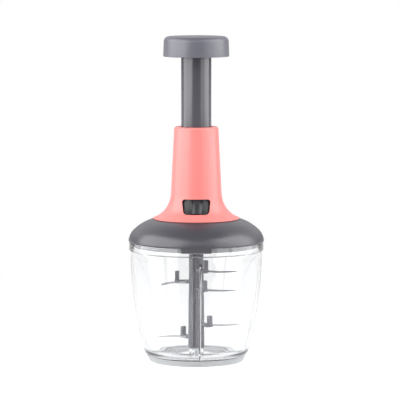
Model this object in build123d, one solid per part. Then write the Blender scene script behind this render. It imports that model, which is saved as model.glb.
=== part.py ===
from build123d import *
import math
import os

# Plunger food chopper: a knob on a long tube is pressed down into a coloured neck.
# A nut in the tube drives a twisted strip, the strip turns a ratchet clutch and a hub,
# and the hub turns a stack of five sickle blades in a clear bowl.
# Millimetres, +Z up, origin at the centre of the ring that the bowl stands on.
# The front is -Y: the lock button sits there.

# ---------------------------------------------------------------- heights
GRIP_RING_TOP = 3.5
FLOOR_TOP = 7.0
BEAD_BOTTOM_Z = 110.4
BEAD_TOP_Z = 113.0
RIM_Z = 119.2
DOME_WIDEST_Z = 120.4
DOME_SHOULDER_Z = 130.0
NECK_SEAT_Z = 140.6
NECK_FLARE_Z = 166.2
NECK_TOP_Z = 233.5

# ---------------------------------------------------------------- travel and drive
PRESS_TRAVEL = 66.0
KNOB_STOP_GAP = 3.5
SPIRAL_LEAD = 30.0
LOCK_TRAVEL_DEG = 12.0
SWING_MARGIN_DEG = 3.0

# ---------------------------------------------------------------- clearances
RUNNING_FIT = 0.08
SNUG_FIT = 0.05
COVER_FIT = 0.2
SEAT_GAP = 0.3
THRUST_GAP = 0.1
HEX_FIT = 0.2
HELIX_FIT = 0.25
OVERRUN = 1.0

# ---------------------------------------------------------------- bowl
BOWL_WALL = 2.4
BOWL_NECK_R = 66.8
BOWL_RIM_WALL = 3.1
BEAD_PROUD = 0.2
BEAD_EDGE = 0.8
BOWL_TOP_STEP = 1.3
BOWL_MID_STEP = 3.2
BOWL_MID_Z = 62.0
BOWL_LOW_STEP = 9.1
BOWL_LOW_Z = 13.5
BOWL_CORNER_BOW = 0.9
BOWL_FOOT_STEP = 6.0
FLOOR_CORNER_STEP = 4.2
FLOOR_CORNER_Z = 15.5
FLOOR_CORNER_BOW = 2.0
GRIP_RING_STEP = 0.6
GRIP_RING_W = 7.6
GRIP_RING_EDGE = 1.2
GRIP_TONGUE_INSET = 4.0
GRIP_TONGUE_W = 1.8
GRIP_TONGUE_H = 1.2
FIN_COUNT = 4
FIN_FIRST_DEG = -86.0
FIN_THICK = 1.8
FIN_REACH = 13.7
FIN_FOOT_REACH = 19.0
FIN_SHOULDER_Z = 90.0
FIN_TOP_Z = 104.0
BOSS_R = 6.2
BOSS_FLARE = 1.15
BOSS_H = 4.6
PIN_R = 2.5
PIN_BOTTOM_Z = 4.8
PIN_TOP_Z = 26.0
PIN_TIP = 0.8

# ---------------------------------------------------------------- lid
DOME_RIM_PROUD = 0.2
DOME_BULGE = 0.5
DOME_RIM_BOW = 0.15
DOME_SHOULDER_STEP = 4.5
DOME_LOWER_BOW = 0.8
DOME_EDGE_R = 42.2
DOME_EDGE_STEP = 2.2
DOME_UPPER_BOW = 1.65
DOME_INNER_BOW = 0.5
DOME_INNER_DROP = 1.6
DOME_WALL = 2.5
DOME_OPENING_R = 28.6
SKIRT_FIT = 0.8
SKIRT_WALL = 2.4
SKIRT_BOTTOM_Z = 114.4
SEAL_PROUD = 0.5
SEAL_GROOVE_DEPTH = 1.1
SEAL_BOTTOM_Z = 115.6
SEAL_H = 1.8
SEAL_EDGE = 0.5
LUG_COUNT = 2
LUG_WIDTH = 29.4
LUG_BOTTOM_Z = 114.5
LUG_INSET = 0.2
COVER_BOTTOM_Z = 114.8
COVER_THICK = 2.2
COVER_BOSS_H = 1.6
COVER_BOSS_WALL = 2.7
COVER_RIB_R = 36.0
COVER_RIB_W = 1.6
COVER_RIB_H = 3.0

# ---------------------------------------------------------------- fasteners
SCREW_R = 1.45
SCREW_HEAD_R = 2.8
SCREW_HEAD_H = 1.8
SCREW_SLOT_W = 0.8
SCREW_SLOT_DEPTH = 0.7
SCREW_BOSS_WALL = 2.0
COVER_SCREW_INSET = 8.5
COVER_SCREW_DEGS = [45.0, 135.0, 225.0, 315.0]
COVER_SCREW_LENGTH = 12.0
HOUSING_SCREW_AT_R = 23.0
HOUSING_SCREW_DEGS = [30.0, 150.0, 270.0]
HOUSING_SCREW_LENGTH = 9.0
HOUSING_BOSS_H = 8.0
NECK_SCREW_AT_R = 32.6
NECK_SCREW_DEGS = [-15.0, 90.0, 195.0]
NECK_SCREW_LENGTH = 8.0
KNOB_SCREW_LENGTH = 7.0

# ---------------------------------------------------------------- neck
NECK_TOP_R = 22.0
NECK_LOW_R = 25.3
NECK_EDGE = 2.4
NECK_WALL = 2.2
NECK_LEDGE_GAP = 0.15
NECK_BORE_R = 15.5
GUIDE_BOTTOM_Z = 217.0
GUIDE_H = 11.0
GUIDE_GROOVE_DEPTH = 1.0
GUIDE_GROOVE_H = 2.4
SHELF_R = 19.0
SHELF_NECK_R = 20.6
SHELF_THICK = 1.8
RIB_THICK = 1.6
RIB_IN_R = 16.6
RIB_WIDE_FROM_Z = 167.0
LUG_SIDE_GAP = 0.4

# ---------------------------------------------------------------- drive housing
HOUSING_BORE_R = 14.0
HOUSING_WALL = 2.0
HOUSING_FLANGE_R = 27.5
HOUSING_FLANGE_H = 2.4
HOUSING_GUSSETS = 6
GUSSET_THICK = 1.6
GUSSET_H = 12.0
TOWER_BORE_R = 18.9
TOWER_TOP_Z = 150.6
TOWER_FLOOR_TOP_Z = 138.8
TOWER_FLOOR_THICK = 3.4

# ---------------------------------------------------------------- lock
LOCK_RING_THICK = 2.4
LOCK_RING_R = 20.8
LOCK_BORE_R = 15.7
LOCK_NOTCH_GAP = 0.6
LOCK_TAB_W = 7.0
LOCK_FRONT_DEG = -90.0
WINDOW_BOTTOM_Z = 148.9
WINDOW_TOP_Z = 163.4
WINDOW_TOP_W = 28.6
WINDOW_BOTTOM_W = 25.4
WINDOW_CORNER = 2.6
SLIDER_THICK = 2.0
SLIDER_LAP = 2.2
SLIDER_FROM_DEG = -126.0
SLIDER_TO_DEG = -43.0
SLIDER_BOSS_W = 11.0
SLIDER_BOSS_H = 7.6
SLIDER_BOSS_R = 22.2
GRIP_PROUD = 1.1
GRIP_LEFT = -4.6
GRIP_RIGHT_TOP = 8.2
GRIP_RIGHT_BOTTOM = 4.8
GRIP_END_GAP = 1.3
SCOOP_R = 7.0
SCOOP_DEPTH = 2.6
SCOOP_LEAN_DEG = 36.0

# ---------------------------------------------------------------- plunger
TUBE_R = 15.0
TUBE_WALL = 2.2
TUBE_LUG_DEGS = [-30.0, 90.0, 210.0]
TUBE_LUG_R = 18.1
TUBE_LUG_W = 7.0
TUBE_LUG_H = 3.2
TUBE_LUG_GAP = 0.4
TUBE_IN_KNOB = 9.0
TUBE_CAP_THICK = 3.0
TUBE_BOSS_R = 4.0
TUBE_BOSS_H = 1.6
KNOB_R = 32.75
KNOB_SIDE_R = 32.2
KNOB_SIDE_H = 14.5
KNOB_H = 20.5
KNOB_CORNER_R = 27.0
KNOB_CROWN = 0.6
KNOB_WALL = 2.4
KNOB_BASE_THICK = 2.6
KNOB_SLEEVE_WALL = 3.4
KNOB_WEB_THICK = 2.8
KNOB_RIBS = 6
KNOB_RIB_H = 7.0
NUT_BOTTOM_Z = 225.0
NUT_H = 10.0

# ---------------------------------------------------------------- spiral, clutch and hub
STRIP_W = 8.0
STRIP_THICK = 1.5
STRIP_BOTTOM_Z = 136.4
STRIP_TOP_Z = 238.5
FOOT_SHANK_R = 5.0
FOOT_SHANK_TOP_Z = 144.8
FOOT_COLLAR_R = 10.4
FOOT_COLLAR_H = 2.8
FOOT_HEX = 12.0
FOOT_PIVOT_R = 2.5
FOOT_PIVOT_H = 2.8
HUB_BOTTOM_Z = 111.4
HUB_JOURNAL_R = 9.0
HUB_FLANGE_H = 3.0
HUB_FLANGE_R = 12.6
HUB_RECESS_R = 8.2
HUB_WEB_H = 3.9
HUB_LEAD_IN = 0.8
TEETH = 12
TOOTH_H = 1.4
TOOTH_GAP = 0.15
TOOTH_TURN_DEG = 0.8
CLUTCH_BODY_H = 3.8
WASHER_R = 6.0
WASHER_H = 0.8
BUSH_WALL = 1.8
BUSH_FLANGE_H = 1.2
BUSH_DROP = 0.4
CLIP_H = 1.0
CLIP_R = 11.2
CLIP_DEPTH = 0.8
CLIP_OPENING = 6.0

# ---------------------------------------------------------------- springs
RETURN_WIRE = 1.4
RETURN_COIL_R = 9.0
RETURN_TURNS = 13
CLUTCH_WIRE = 0.8
CLUTCH_COIL_R = 8.8
CLUTCH_TURNS = 2.5

# ---------------------------------------------------------------- blade unit
SHAFT_FLOOR_GAP = 0.92
SHAFT_SEAM_Z = 63.0
SHAFT_TOP_Z = 110.4
SHAFT_HEX_TOP_Z = 118.7
SHAFT_BOTTOM_R = 8.2
SHAFT_SEAM_R = 7.8
SHAFT_UPPER_R = 7.6
SHAFT_TOP_R = 7.2
SHAFT_HEX = 10.0
SPIGOT_R = 4.6
SPIGOT_H = 6.0
SHAFT_BUSH_WALL = 1.7
SHAFT_BUSH_TOP_Z = 24.0
ARM_FROM_R = 5.0
ARM_TO_R = 17.8
ARM_W = 8.0
ARM_THICK = 3.0
PEG_AT_R = 19.2
PEG_W = 4.6
PEG_DEPTH = 4.0
BLADE_THICK = 1.0
BLADE_ROOT_R = 9.0
BLADE_ROOT_W = 6.4
BLADE_TIP_GAP = 1.7
BLADE_SWEEP_DEG = 44.0
BLADE_BELLY_SHARE = 0.693
BLADE_BELLY_DEG = 13.5
BLADE_BACK_SHARE = 0.642
BLADE_BACK_DEG = 30.7
BLADE_BEVEL_W = 2.4
BLADE_BEVEL_H = 0.7
BLADE_TOP_Z = 90.5
BLADE_UPPER_Z = 78.3
BLADE_MIDDLE_Z = 72.0
BLADE_LOWER_Z = 36.5
BLADE_BOTTOM_Z = 22.0
PEG_TOP_H = 10.5
PEG_UPPER_H = 9.0
PEG_H = 8.2

# name, height of the blade, direction of its arm, height of its peg, carrier
BLADES = [
    ("blade_top", BLADE_TOP_Z, -62.0, PEG_TOP_H, "upper"),
    ("blade_upper", BLADE_UPPER_Z, 174.0, PEG_UPPER_H, "upper"),
    ("blade_middle", BLADE_MIDDLE_Z, -65.0, PEG_H, "upper"),
    ("blade_lower", BLADE_LOWER_Z, -46.0, PEG_H, "lower"),
    ("blade_bottom", BLADE_BOTTOM_Z, 133.0, PEG_H, "lower"),
]

# ---------------------------------------------------------------- stack worked out from the above
QUARTER_BOW = (math.sqrt(2) - 1) / 2
BEAD_R = BOWL_NECK_R + BEAD_PROUD
BOWL_TOP_R = BOWL_NECK_R - BOWL_TOP_STEP
BOWL_MID_R = BOWL_TOP_R - BOWL_MID_STEP
BOWL_LOW_R = BOWL_MID_R - BOWL_LOW_STEP
BOWL_FOOT_R = BOWL_LOW_R - BOWL_FOOT_STEP
BOWL_NECK_IN_R = BOWL_NECK_R - BOWL_RIM_WALL
FLOOR_CORNER_R = BOWL_FOOT_R - FLOOR_CORNER_STEP
GRIP_RING_R = BOWL_FOOT_R - GRIP_RING_STEP
GRIP_TONGUE_R = GRIP_RING_R - GRIP_TONGUE_INSET
FIN_INNER_R = BOWL_NECK_IN_R - FIN_REACH
FIN_FOOT_R = BOWL_NECK_IN_R - FIN_FOOT_REACH
BOSS_TOP_Z = FLOOR_TOP + BOSS_H
SHAFT_BOTTOM_Z = BOSS_TOP_Z + SHAFT_FLOOR_GAP
BLADE_TIP_R = FIN_FOOT_R - BLADE_TIP_GAP
SKIRT_R = BOWL_NECK_IN_R - SKIRT_FIT
SKIRT_IN_R = SKIRT_R - SKIRT_WALL
SEAL_R = SKIRT_R + SEAL_PROUD
DOME_RIM_R = BOWL_NECK_R + DOME_RIM_PROUD
DOME_R = DOME_RIM_R + DOME_BULGE
DOME_SHOULDER_R = DOME_R - DOME_SHOULDER_STEP
DOME_EDGE_Z = NECK_SEAT_Z + DOME_EDGE_STEP
COVER_SCREW_AT_R = SKIRT_IN_R - COVER_SCREW_INSET
KNOB_BOTTOM_Z = NECK_TOP_Z + PRESS_TRAVEL + KNOB_STOP_GAP
KNOB_SIDE_Z = KNOB_BOTTOM_Z + KNOB_SIDE_H
KNOB_TOP_Z = KNOB_BOTTOM_Z + KNOB_H
TUBE_BOTTOM_Z = GUIDE_BOTTOM_Z - TUBE_LUG_H - TUBE_LUG_GAP
COVER_TOP_Z = COVER_BOTTOM_Z + COVER_THICK
COVER_BOSS_TOP_Z = COVER_TOP_Z + COVER_BOSS_H
BUSH_IN_R = HUB_JOURNAL_R + RUNNING_FIT
BUSH_R = BUSH_IN_R + BUSH_WALL
COVER_BOSS_R = BUSH_R + COVER_BOSS_WALL
BUSH_TOP_Z = COVER_BOSS_TOP_Z + BUSH_FLANGE_H
BUSH_BOTTOM_Z = COVER_BOTTOM_Z - BUSH_DROP
CLIP_TOP_Z = BUSH_BOTTOM_Z - SEAT_GAP
CLIP_IN_R = HUB_JOURNAL_R - CLIP_DEPTH
HUB_FLANGE_Z = BUSH_TOP_Z + THRUST_GAP
HUB_TOP_Z = HUB_FLANGE_Z + HUB_FLANGE_H
HUB_SOCKET_TOP_Z = HUB_TOP_Z - HUB_WEB_H
WASHER_TOP_Z = HUB_TOP_Z + WASHER_H
FOOT_BOTTOM_Z = WASHER_TOP_Z + THRUST_GAP
TOWER_FLOOR_Z = TOWER_FLOOR_TOP_Z - TOWER_FLOOR_THICK
FOOT_COLLAR_TOP_Z = TOWER_FLOOR_Z - SEAT_GAP
FOOT_COLLAR_Z = FOOT_COLLAR_TOP_Z - FOOT_COLLAR_H
CLUTCH_TEETH_Z = HUB_TOP_Z + TOOTH_GAP
CLUTCH_BODY_Z = CLUTCH_TEETH_Z + TOOTH_H
CLUTCH_TOP_Z = CLUTCH_BODY_Z + CLUTCH_BODY_H
TOWER_R = TOWER_BORE_R + HOUSING_WALL
HOUSING_R = HOUSING_BORE_R + HOUSING_WALL
LOCK_RING_Z = TOWER_TOP_Z + THRUST_GAP
LOCK_RING_TOP_Z = LOCK_RING_Z + LOCK_RING_THICK
SHELF_Z = LOCK_RING_TOP_Z + SEAT_GAP
RIB_AT = TUBE_LUG_W / 2 + LUG_SIDE_GAP + RIB_THICK / 2
NECK_EDGE_R = DOME_EDGE_R - NECK_LEDGE_GAP
NECK_EDGE_Z = DOME_EDGE_Z + NECK_LEDGE_GAP
NECK_SIDE_TOP_Z = NECK_TOP_Z - NECK_EDGE
DOME_PLATE_Z = NECK_SEAT_Z - DOME_WALL
TUBE_IN_R = TUBE_R - TUBE_WALL
TUBE_TOP_Z = KNOB_BOTTOM_Z + TUBE_IN_KNOB
KNOB_WEB_TOP_Z = TUBE_TOP_Z + KNOB_WEB_THICK
SLIDER_INSET = NECK_WALL + SEAT_GAP


# ---------------------------------------------------------------- helpers
def disc(radius, bottom, top):
    """A solid cylinder on the Z axis."""
    low = (Align.CENTER, Align.CENTER, Align.MIN)
    return Pos(0, 0, bottom) * Cylinder(radius, top - bottom, align=low)


def ring(outer_r, inner_r, bottom, top):
    """A plain ring or sleeve about the Z axis."""
    return disc(outer_r, bottom, top) - disc(inner_r, bottom, top)


def cone(bottom_r, top_r, bottom, top):
    """A tapered solid on the Z axis."""
    low = (Align.CENTER, Align.CENTER, Align.MIN)
    return Pos(0, 0, bottom) * Cone(bottom_r, top_r, top - bottom, align=low)


def hexagon(across_flats, bottom, top):
    """A hexagonal bar on the Z axis."""
    profile = RegularPolygon(across_flats / 2, 6, major_radius=False)
    return extrude(Pos(0, 0, bottom) * profile, top - bottom)


def at(radius, height):
    """A point of an outline, in the plane through the axis."""
    return (radius, 0, height)


def bowed(start, end, rise):
    """An arc that stands off its chord by rise, on the right of the way from start to end."""
    run = end[0] - start[0]
    climb = end[1] - start[1]
    chord = math.hypot(run, climb)
    middle_r = (start[0] + end[0]) / 2 + rise * climb / chord
    middle_z = (start[1] + end[1]) / 2 - rise * run / chord
    return ((middle_r, middle_z), end)


def rounded(start, end):
    """A quarter round between two points, on the right of the way."""
    return bowed(start, end, QUARTER_BOW * math.dist(start, end))


def crowned(edge, top_z):
    """A shallow dome from an edge up to the axis, with its centre on the axis."""
    rise = top_z - edge[1]
    radius = (edge[0] ** 2 + rise**2) / (2 * rise)
    half = math.asin(edge[0] / radius) / 2
    return ((radius * math.sin(half), top_z - radius + radius * math.cos(half)), (0, top_z))


def outline(start, *steps):
    """A closed face of straight runs, each a point, and arcs, each a middle point and an end."""
    edges = []
    here = start
    for step in steps:
        if isinstance(step[0], tuple):
            edges.append(ThreePointArc(at(*here), at(*step[0]), at(*step[1])))
            here = step[1]
        else:
            edges.append(Line(at(*here), at(*step)))
            here = step
    edges.append(Line(at(*here), at(*start)))
    return make_face(edges)


def turned(start, *steps):
    """The solid that an outline sweeps round the Z axis."""
    return revolve(outline(start, *steps), Axis.Z)


def upright(radius, at_r, at_deg, bottom, top):
    """An upright cylinder away from the axis."""
    return Rot(0, 0, at_deg) * (Pos(at_r, 0, 0) * disc(radius, bottom, top))


def radial_block(from_r, to_r, width, bottom, top, at_deg, aside=0.0):
    """A block that reaches outwards from the axis, or beside it."""
    low = (Align.MIN, Align.CENTER, Align.MIN)
    block = Box(to_r - from_r, width, top - bottom, align=low)
    return Rot(0, 0, at_deg) * (Pos(from_r, aside, bottom) * block)


def sector(radius, bottom, top, from_deg, to_deg):
    """A slice of a disc about the Z axis."""
    middle = math.radians((from_deg + to_deg) / 2)
    half = math.radians((to_deg - from_deg) / 2)
    reach = (radius + OVERRUN) / math.cos(half)
    first = (reach * math.cos(middle - half), reach * math.sin(middle - half))
    last = (reach * math.cos(middle + half), reach * math.sin(middle + half))
    wedge = make_face(Polyline((0, 0), first, last, (0, 0)))
    return disc(radius, bottom, top) & extrude(Pos(0, 0, bottom) * wedge, top - bottom)


def strip(width, thick, bottom, top):
    """A flat bar twisted to the left about the Z axis, in step at every height."""
    turn = -360.0 * (top - bottom) / SPIRAL_LEAD
    start = Pos(0, 0, bottom) * Rot(0, 0, -360.0 * bottom / SPIRAL_LEAD) * Rectangle(width, thick)
    return Solid.extrude_linear_with_rotation(start.face(), (0, 0, bottom), (0, 0, top - bottom), turn)


def coil(wire, coil_r, turns, bottom, top):
    """A round-wire compression spring between two seats."""
    climb = top - bottom - wire - 2 * SNUG_FIT
    first = bottom + wire / 2 + SNUG_FIT
    path = Helix(climb / turns, climb, coil_r, center=(0, 0, first))
    section = Plane(origin=path @ 0, z_dir=path % 0) * Circle(wire / 2)
    return sweep(section, path, is_frenet=True)


def screw(at_r, at_deg, seat, length, heads_up=False):
    """A pan-head screw whose head bears on the seat height."""
    shank = disc(SCREW_R, 0, length)
    head = disc(SCREW_HEAD_R, -SCREW_HEAD_H, 0)
    slot = Pos(0, 0, SCREW_SLOT_DEPTH / 2 - SCREW_HEAD_H) * Box(
        2 * SCREW_HEAD_R, SCREW_SLOT_W, SCREW_SLOT_DEPTH
    )
    whole = shank + (head - slot - Rot(0, 0, 90) * slot)
    if heads_up:
        whole = Rot(180, 0, 0) * whole
    return Rot(0, 0, at_deg) * (Pos(at_r, 0, seat) * whole)


def save(name, shape):
    """Write one named piece."""
    export_step(shape, f"parts/{name}.step")


def save_group(name, shapes):
    """Write identical fasteners as one node of separate solids."""
    solids = [solid for shape in shapes for solid in shape.solids()]
    export_step(Compound(children=solids), f"parts/{name}.step")


# ---------------------------------------------------------------- the neck's outer form
def flare_circle():
    """Centre and radius of the arc that carries the neck's side out to the dome."""
    slope = math.atan2(NECK_LOW_R - NECK_TOP_R, NECK_SIDE_TOP_Z - NECK_FLARE_Z)
    normal = (math.cos(slope), math.sin(slope))
    run = NECK_EDGE_R - NECK_LOW_R
    climb = NECK_EDGE_Z - NECK_FLARE_Z
    radius = (run**2 + climb**2) / (2 * (run * normal[0] + climb * normal[1]))
    return NECK_LOW_R + radius * normal[0], NECK_FLARE_Z + radius * normal[1], radius


def neck_r(height, inset=0.0):
    """Radius of the neck's side at a height, moved inwards by inset."""
    if height >= NECK_FLARE_Z:
        share = (height - NECK_FLARE_Z) / (NECK_SIDE_TOP_Z - NECK_FLARE_Z)
        return NECK_LOW_R + share * (NECK_TOP_R - NECK_LOW_R) - inset
    centre_r, centre_z, radius = flare_circle()
    return centre_r - math.sqrt((radius + inset) ** 2 - (height - centre_z) ** 2)


def flare_step(from_z, to_z, inset=0.0):
    """The stretch of the flare between two heights, as one arc of an outline."""
    middle_z = (from_z + to_z) / 2
    return ((neck_r(middle_z, inset), middle_z), (neck_r(to_z, inset), to_z))


def neck_core():
    """The neck's outer form, filled."""
    return turned(
        (0, NECK_SEAT_Z),
        (NECK_EDGE_R, NECK_SEAT_Z),
        (NECK_EDGE_R, NECK_EDGE_Z),
        flare_step(NECK_EDGE_Z, NECK_FLARE_Z),
        (NECK_TOP_R, NECK_SIDE_TOP_Z),
        rounded((NECK_TOP_R, NECK_SIDE_TOP_Z), (NECK_TOP_R - NECK_EDGE, NECK_TOP_Z)),
        (0, NECK_TOP_Z),
    )


# ---------------------------------------------------------------- bowl
def bowl_core():
    """The bowl's outer form, filled."""
    return turned(
        (0, GRIP_RING_TOP),
        (BOWL_FOOT_R, GRIP_RING_TOP),
        bowed((BOWL_FOOT_R, GRIP_RING_TOP), (BOWL_LOW_R, BOWL_LOW_Z), BOWL_CORNER_BOW),
        ((BOWL_MID_R, BOWL_MID_Z), (BOWL_TOP_R, BEAD_BOTTOM_Z)),
        (BEAD_R, BEAD_BOTTOM_Z + BEAD_EDGE),
        (BEAD_R, BEAD_TOP_Z - BEAD_EDGE),
        (BOWL_NECK_R, BEAD_TOP_Z),
        (BOWL_NECK_R, RIM_Z),
        (0, RIM_Z),
    )


def bowl_hollow():
    """The space inside the bowl."""
    corner = (FLOOR_CORNER_R, FLOOR_TOP)
    low = (BOWL_LOW_R - BOWL_WALL, FLOOR_CORNER_Z)
    return turned(
        (0, FLOOR_TOP),
        corner,
        bowed(corner, low, FLOOR_CORNER_BOW),
        ((BOWL_MID_R - BOWL_WALL, BOWL_MID_Z), (BOWL_NECK_IN_R, BEAD_BOTTOM_Z)),
        (BOWL_NECK_IN_R, RIM_Z),
        (0, RIM_Z),
    )


def fin(at_deg):
    """An upright vane on the bowl's wall that stops the food from going round."""
    side = outline(
        (FIN_FOOT_R, GRIP_RING_TOP),
        (FIN_INNER_R, FIN_SHOULDER_Z),
        (BOWL_NECK_IN_R, FIN_TOP_Z),
        (BOWL_NECK_R, FIN_TOP_Z),
        (BOWL_NECK_R, GRIP_RING_TOP),
    )
    return Rot(0, 0, at_deg) * extrude(side, FIN_THICK / 2, both=True)


def bowl():
    core = bowl_core()
    body = core - bowl_hollow()
    fins = [fin(FIN_FIRST_DEG + 360 / FIN_COUNT * i) & core for i in range(FIN_COUNT)]
    body += fins
    body += cone(BOSS_R + BOSS_FLARE, BOSS_R, FLOOR_TOP, BOSS_TOP_Z)
    body -= disc(PIN_R, PIN_BOTTOM_Z, BOSS_TOP_Z)
    tongue_r = GRIP_TONGUE_R + GRIP_TONGUE_W
    body -= ring(tongue_r, GRIP_TONGUE_R, GRIP_RING_TOP, GRIP_RING_TOP + GRIP_TONGUE_H)
    notch_w = LUG_WIDTH + 2 * SEAT_GAP
    notch_z = LUG_BOTTOM_Z - SEAT_GAP
    for i in range(LUG_COUNT):
        turn = LOCK_FRONT_DEG + 360 / LUG_COUNT * i
        body -= radial_block(SKIRT_IN_R, DOME_R, notch_w, notch_z, RIM_Z, turn)
    return body


def base_grip_ring():
    inner_r = GRIP_RING_R - GRIP_RING_W
    tongue_r = GRIP_TONGUE_R + GRIP_TONGUE_W
    tongue_z = GRIP_RING_TOP + GRIP_TONGUE_H
    return turned(
        (inner_r + GRIP_RING_EDGE, 0),
        (GRIP_RING_R - GRIP_RING_EDGE, 0),
        rounded((GRIP_RING_R - GRIP_RING_EDGE, 0), (GRIP_RING_R, GRIP_RING_EDGE)),
        (GRIP_RING_R, GRIP_RING_TOP),
        (tongue_r, GRIP_RING_TOP),
        (tongue_r, tongue_z),
        (GRIP_TONGUE_R, tongue_z),
        (GRIP_TONGUE_R, GRIP_RING_TOP),
        (inner_r, GRIP_RING_TOP),
        (inner_r, GRIP_RING_EDGE),
    )


def blade_pivot_pin():
    body = disc(PIN_R, PIN_BOTTOM_Z, PIN_TOP_Z - PIN_TIP)
    return body + cone(PIN_R, PIN_R - PIN_TIP, PIN_TOP_Z - PIN_TIP, PIN_TOP_Z)


# ---------------------------------------------------------------- lid
def dome_outer_steps():
    """The dome's outer line, from its inner edge down to its rim."""
    edge = (DOME_EDGE_R, DOME_EDGE_Z)
    shoulder = (DOME_SHOULDER_R, DOME_SHOULDER_Z)
    widest = (DOME_R, DOME_WIDEST_Z)
    rim = (DOME_RIM_R, RIM_Z)
    return (
        (DOME_EDGE_R, NECK_SEAT_Z),
        edge,
        bowed(edge, shoulder, -DOME_UPPER_BOW),
        bowed(shoulder, widest, -DOME_LOWER_BOW),
        bowed(widest, rim, -DOME_RIM_BOW),
    )


def dome_core():
    """The dome above the rim, filled, to trim what stands inside it."""
    skirt = ((SKIRT_IN_R, RIM_Z), (SKIRT_IN_R, SKIRT_BOTTOM_Z), (0, SKIRT_BOTTOM_Z))
    return turned((0, NECK_SEAT_Z), *dome_outer_steps(), *skirt)


def lid_dome():
    inner_low = (SKIRT_IN_R, DOME_SHOULDER_Z - DOME_INNER_DROP)
    inner_high = (DOME_EDGE_R + 2 * DOME_WALL, DOME_PLATE_Z)
    shell = turned(
        (DOME_OPENING_R, NECK_SEAT_Z),
        *dome_outer_steps(),
        (SKIRT_R, RIM_Z),
        (SKIRT_R, SKIRT_BOTTOM_Z),
        (SKIRT_IN_R, SKIRT_BOTTOM_Z),
        inner_low,
        bowed(inner_low, inner_high, DOME_INNER_BOW),
        (DOME_OPENING_R, DOME_PLATE_Z),
    )
    boss_r = SCREW_R + SCREW_BOSS_WALL
    core = dome_core()
    for turn in COVER_SCREW_DEGS:
        shell += upright(boss_r, COVER_SCREW_AT_R, turn, COVER_TOP_Z, NECK_SEAT_Z) & core
    screw_top = COVER_BOTTOM_Z + COVER_SCREW_LENGTH
    for turn in COVER_SCREW_DEGS:
        shell -= upright(SCREW_R, COVER_SCREW_AT_R, turn, COVER_TOP_Z, screw_top)
    for turn in NECK_SCREW_DEGS:
        shell -= upright(SCREW_R, NECK_SCREW_AT_R, turn, DOME_PLATE_Z, NECK_SEAT_Z)
    lug_r = BOWL_NECK_R - LUG_INSET
    lug_belt = ring(lug_r, BOWL_NECK_IN_R, LUG_BOTTOM_Z, RIM_Z + DOME_WALL / 2)
    for i in range(LUG_COUNT):
        turn = LOCK_FRONT_DEG + 360 / LUG_COUNT * i
        reach = radial_block(SKIRT_IN_R, DOME_R, LUG_WIDTH, LUG_BOTTOM_Z, RIM_Z + DOME_WALL / 2, turn)
        shell += lug_belt & reach
    groove_r = SKIRT_R - SEAL_GROOVE_DEPTH
    shell -= ring(SKIRT_R, groove_r, SEAL_BOTTOM_Z, SEAL_BOTTOM_Z + SEAL_H)
    return shell


def lid_seal():
    inner_r = SKIRT_R - SEAL_GROOVE_DEPTH
    top = SEAL_BOTTOM_Z + SEAL_H
    return turned(
        (inner_r, SEAL_BOTTOM_Z),
        (SEAL_R - SEAL_EDGE, SEAL_BOTTOM_Z),
        (SEAL_R, SEAL_BOTTOM_Z + SEAL_EDGE),
        (SEAL_R, top - SEAL_EDGE),
        (SEAL_R - SEAL_EDGE, top),
        (inner_r, top),
    )


def drive_cover():
    plate = turned(
        (BUSH_R, COVER_BOTTOM_Z),
        (SKIRT_IN_R - COVER_FIT, COVER_BOTTOM_Z),
        (SKIRT_IN_R - COVER_FIT, COVER_TOP_Z),
        (COVER_BOSS_R, COVER_TOP_Z),
        (COVER_BOSS_R, COVER_BOSS_TOP_Z),
        (BUSH_R, COVER_BOSS_TOP_Z),
    )
    plate += ring(COVER_RIB_R + COVER_RIB_W, COVER_RIB_R, COVER_TOP_Z, COVER_TOP_Z + COVER_RIB_H)
    for turn in COVER_SCREW_DEGS:
        plate -= upright(SCREW_R, COVER_SCREW_AT_R, turn, COVER_BOTTOM_Z, COVER_TOP_Z)
    for turn in HOUSING_SCREW_DEGS:
        plate -= upright(SCREW_R, HOUSING_SCREW_AT_R, turn, COVER_BOTTOM_Z, COVER_TOP_Z)
    return plate


def cover_screws():
    return [screw(COVER_SCREW_AT_R, turn, COVER_BOTTOM_Z, COVER_SCREW_LENGTH) for turn in COVER_SCREW_DEGS]


def housing_screws():
    return [
        screw(HOUSING_SCREW_AT_R, turn, COVER_BOTTOM_Z, HOUSING_SCREW_LENGTH) for turn in HOUSING_SCREW_DEGS
    ]


def neck_screws():
    return [screw(NECK_SCREW_AT_R, turn, DOME_PLATE_Z, NECK_SCREW_LENGTH) for turn in NECK_SCREW_DEGS]


# ---------------------------------------------------------------- neck
def window():
    """The lock's opening, a rounded trapezium seen from the front."""
    half_top = WINDOW_TOP_W / 2
    half_bottom = WINDOW_BOTTOM_W / 2
    corners = Polyline(
        (-half_bottom, WINDOW_BOTTOM_Z),
        (half_bottom, WINDOW_BOTTOM_Z),
        (half_top, WINDOW_TOP_Z),
        (-half_top, WINDOW_TOP_Z),
        (-half_bottom, WINDOW_BOTTOM_Z),
    )
    face = make_face(corners)
    face = fillet(face.vertices(), WINDOW_CORNER)
    return extrude(Plane.XZ.location * face, NECK_EDGE_R)


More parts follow.
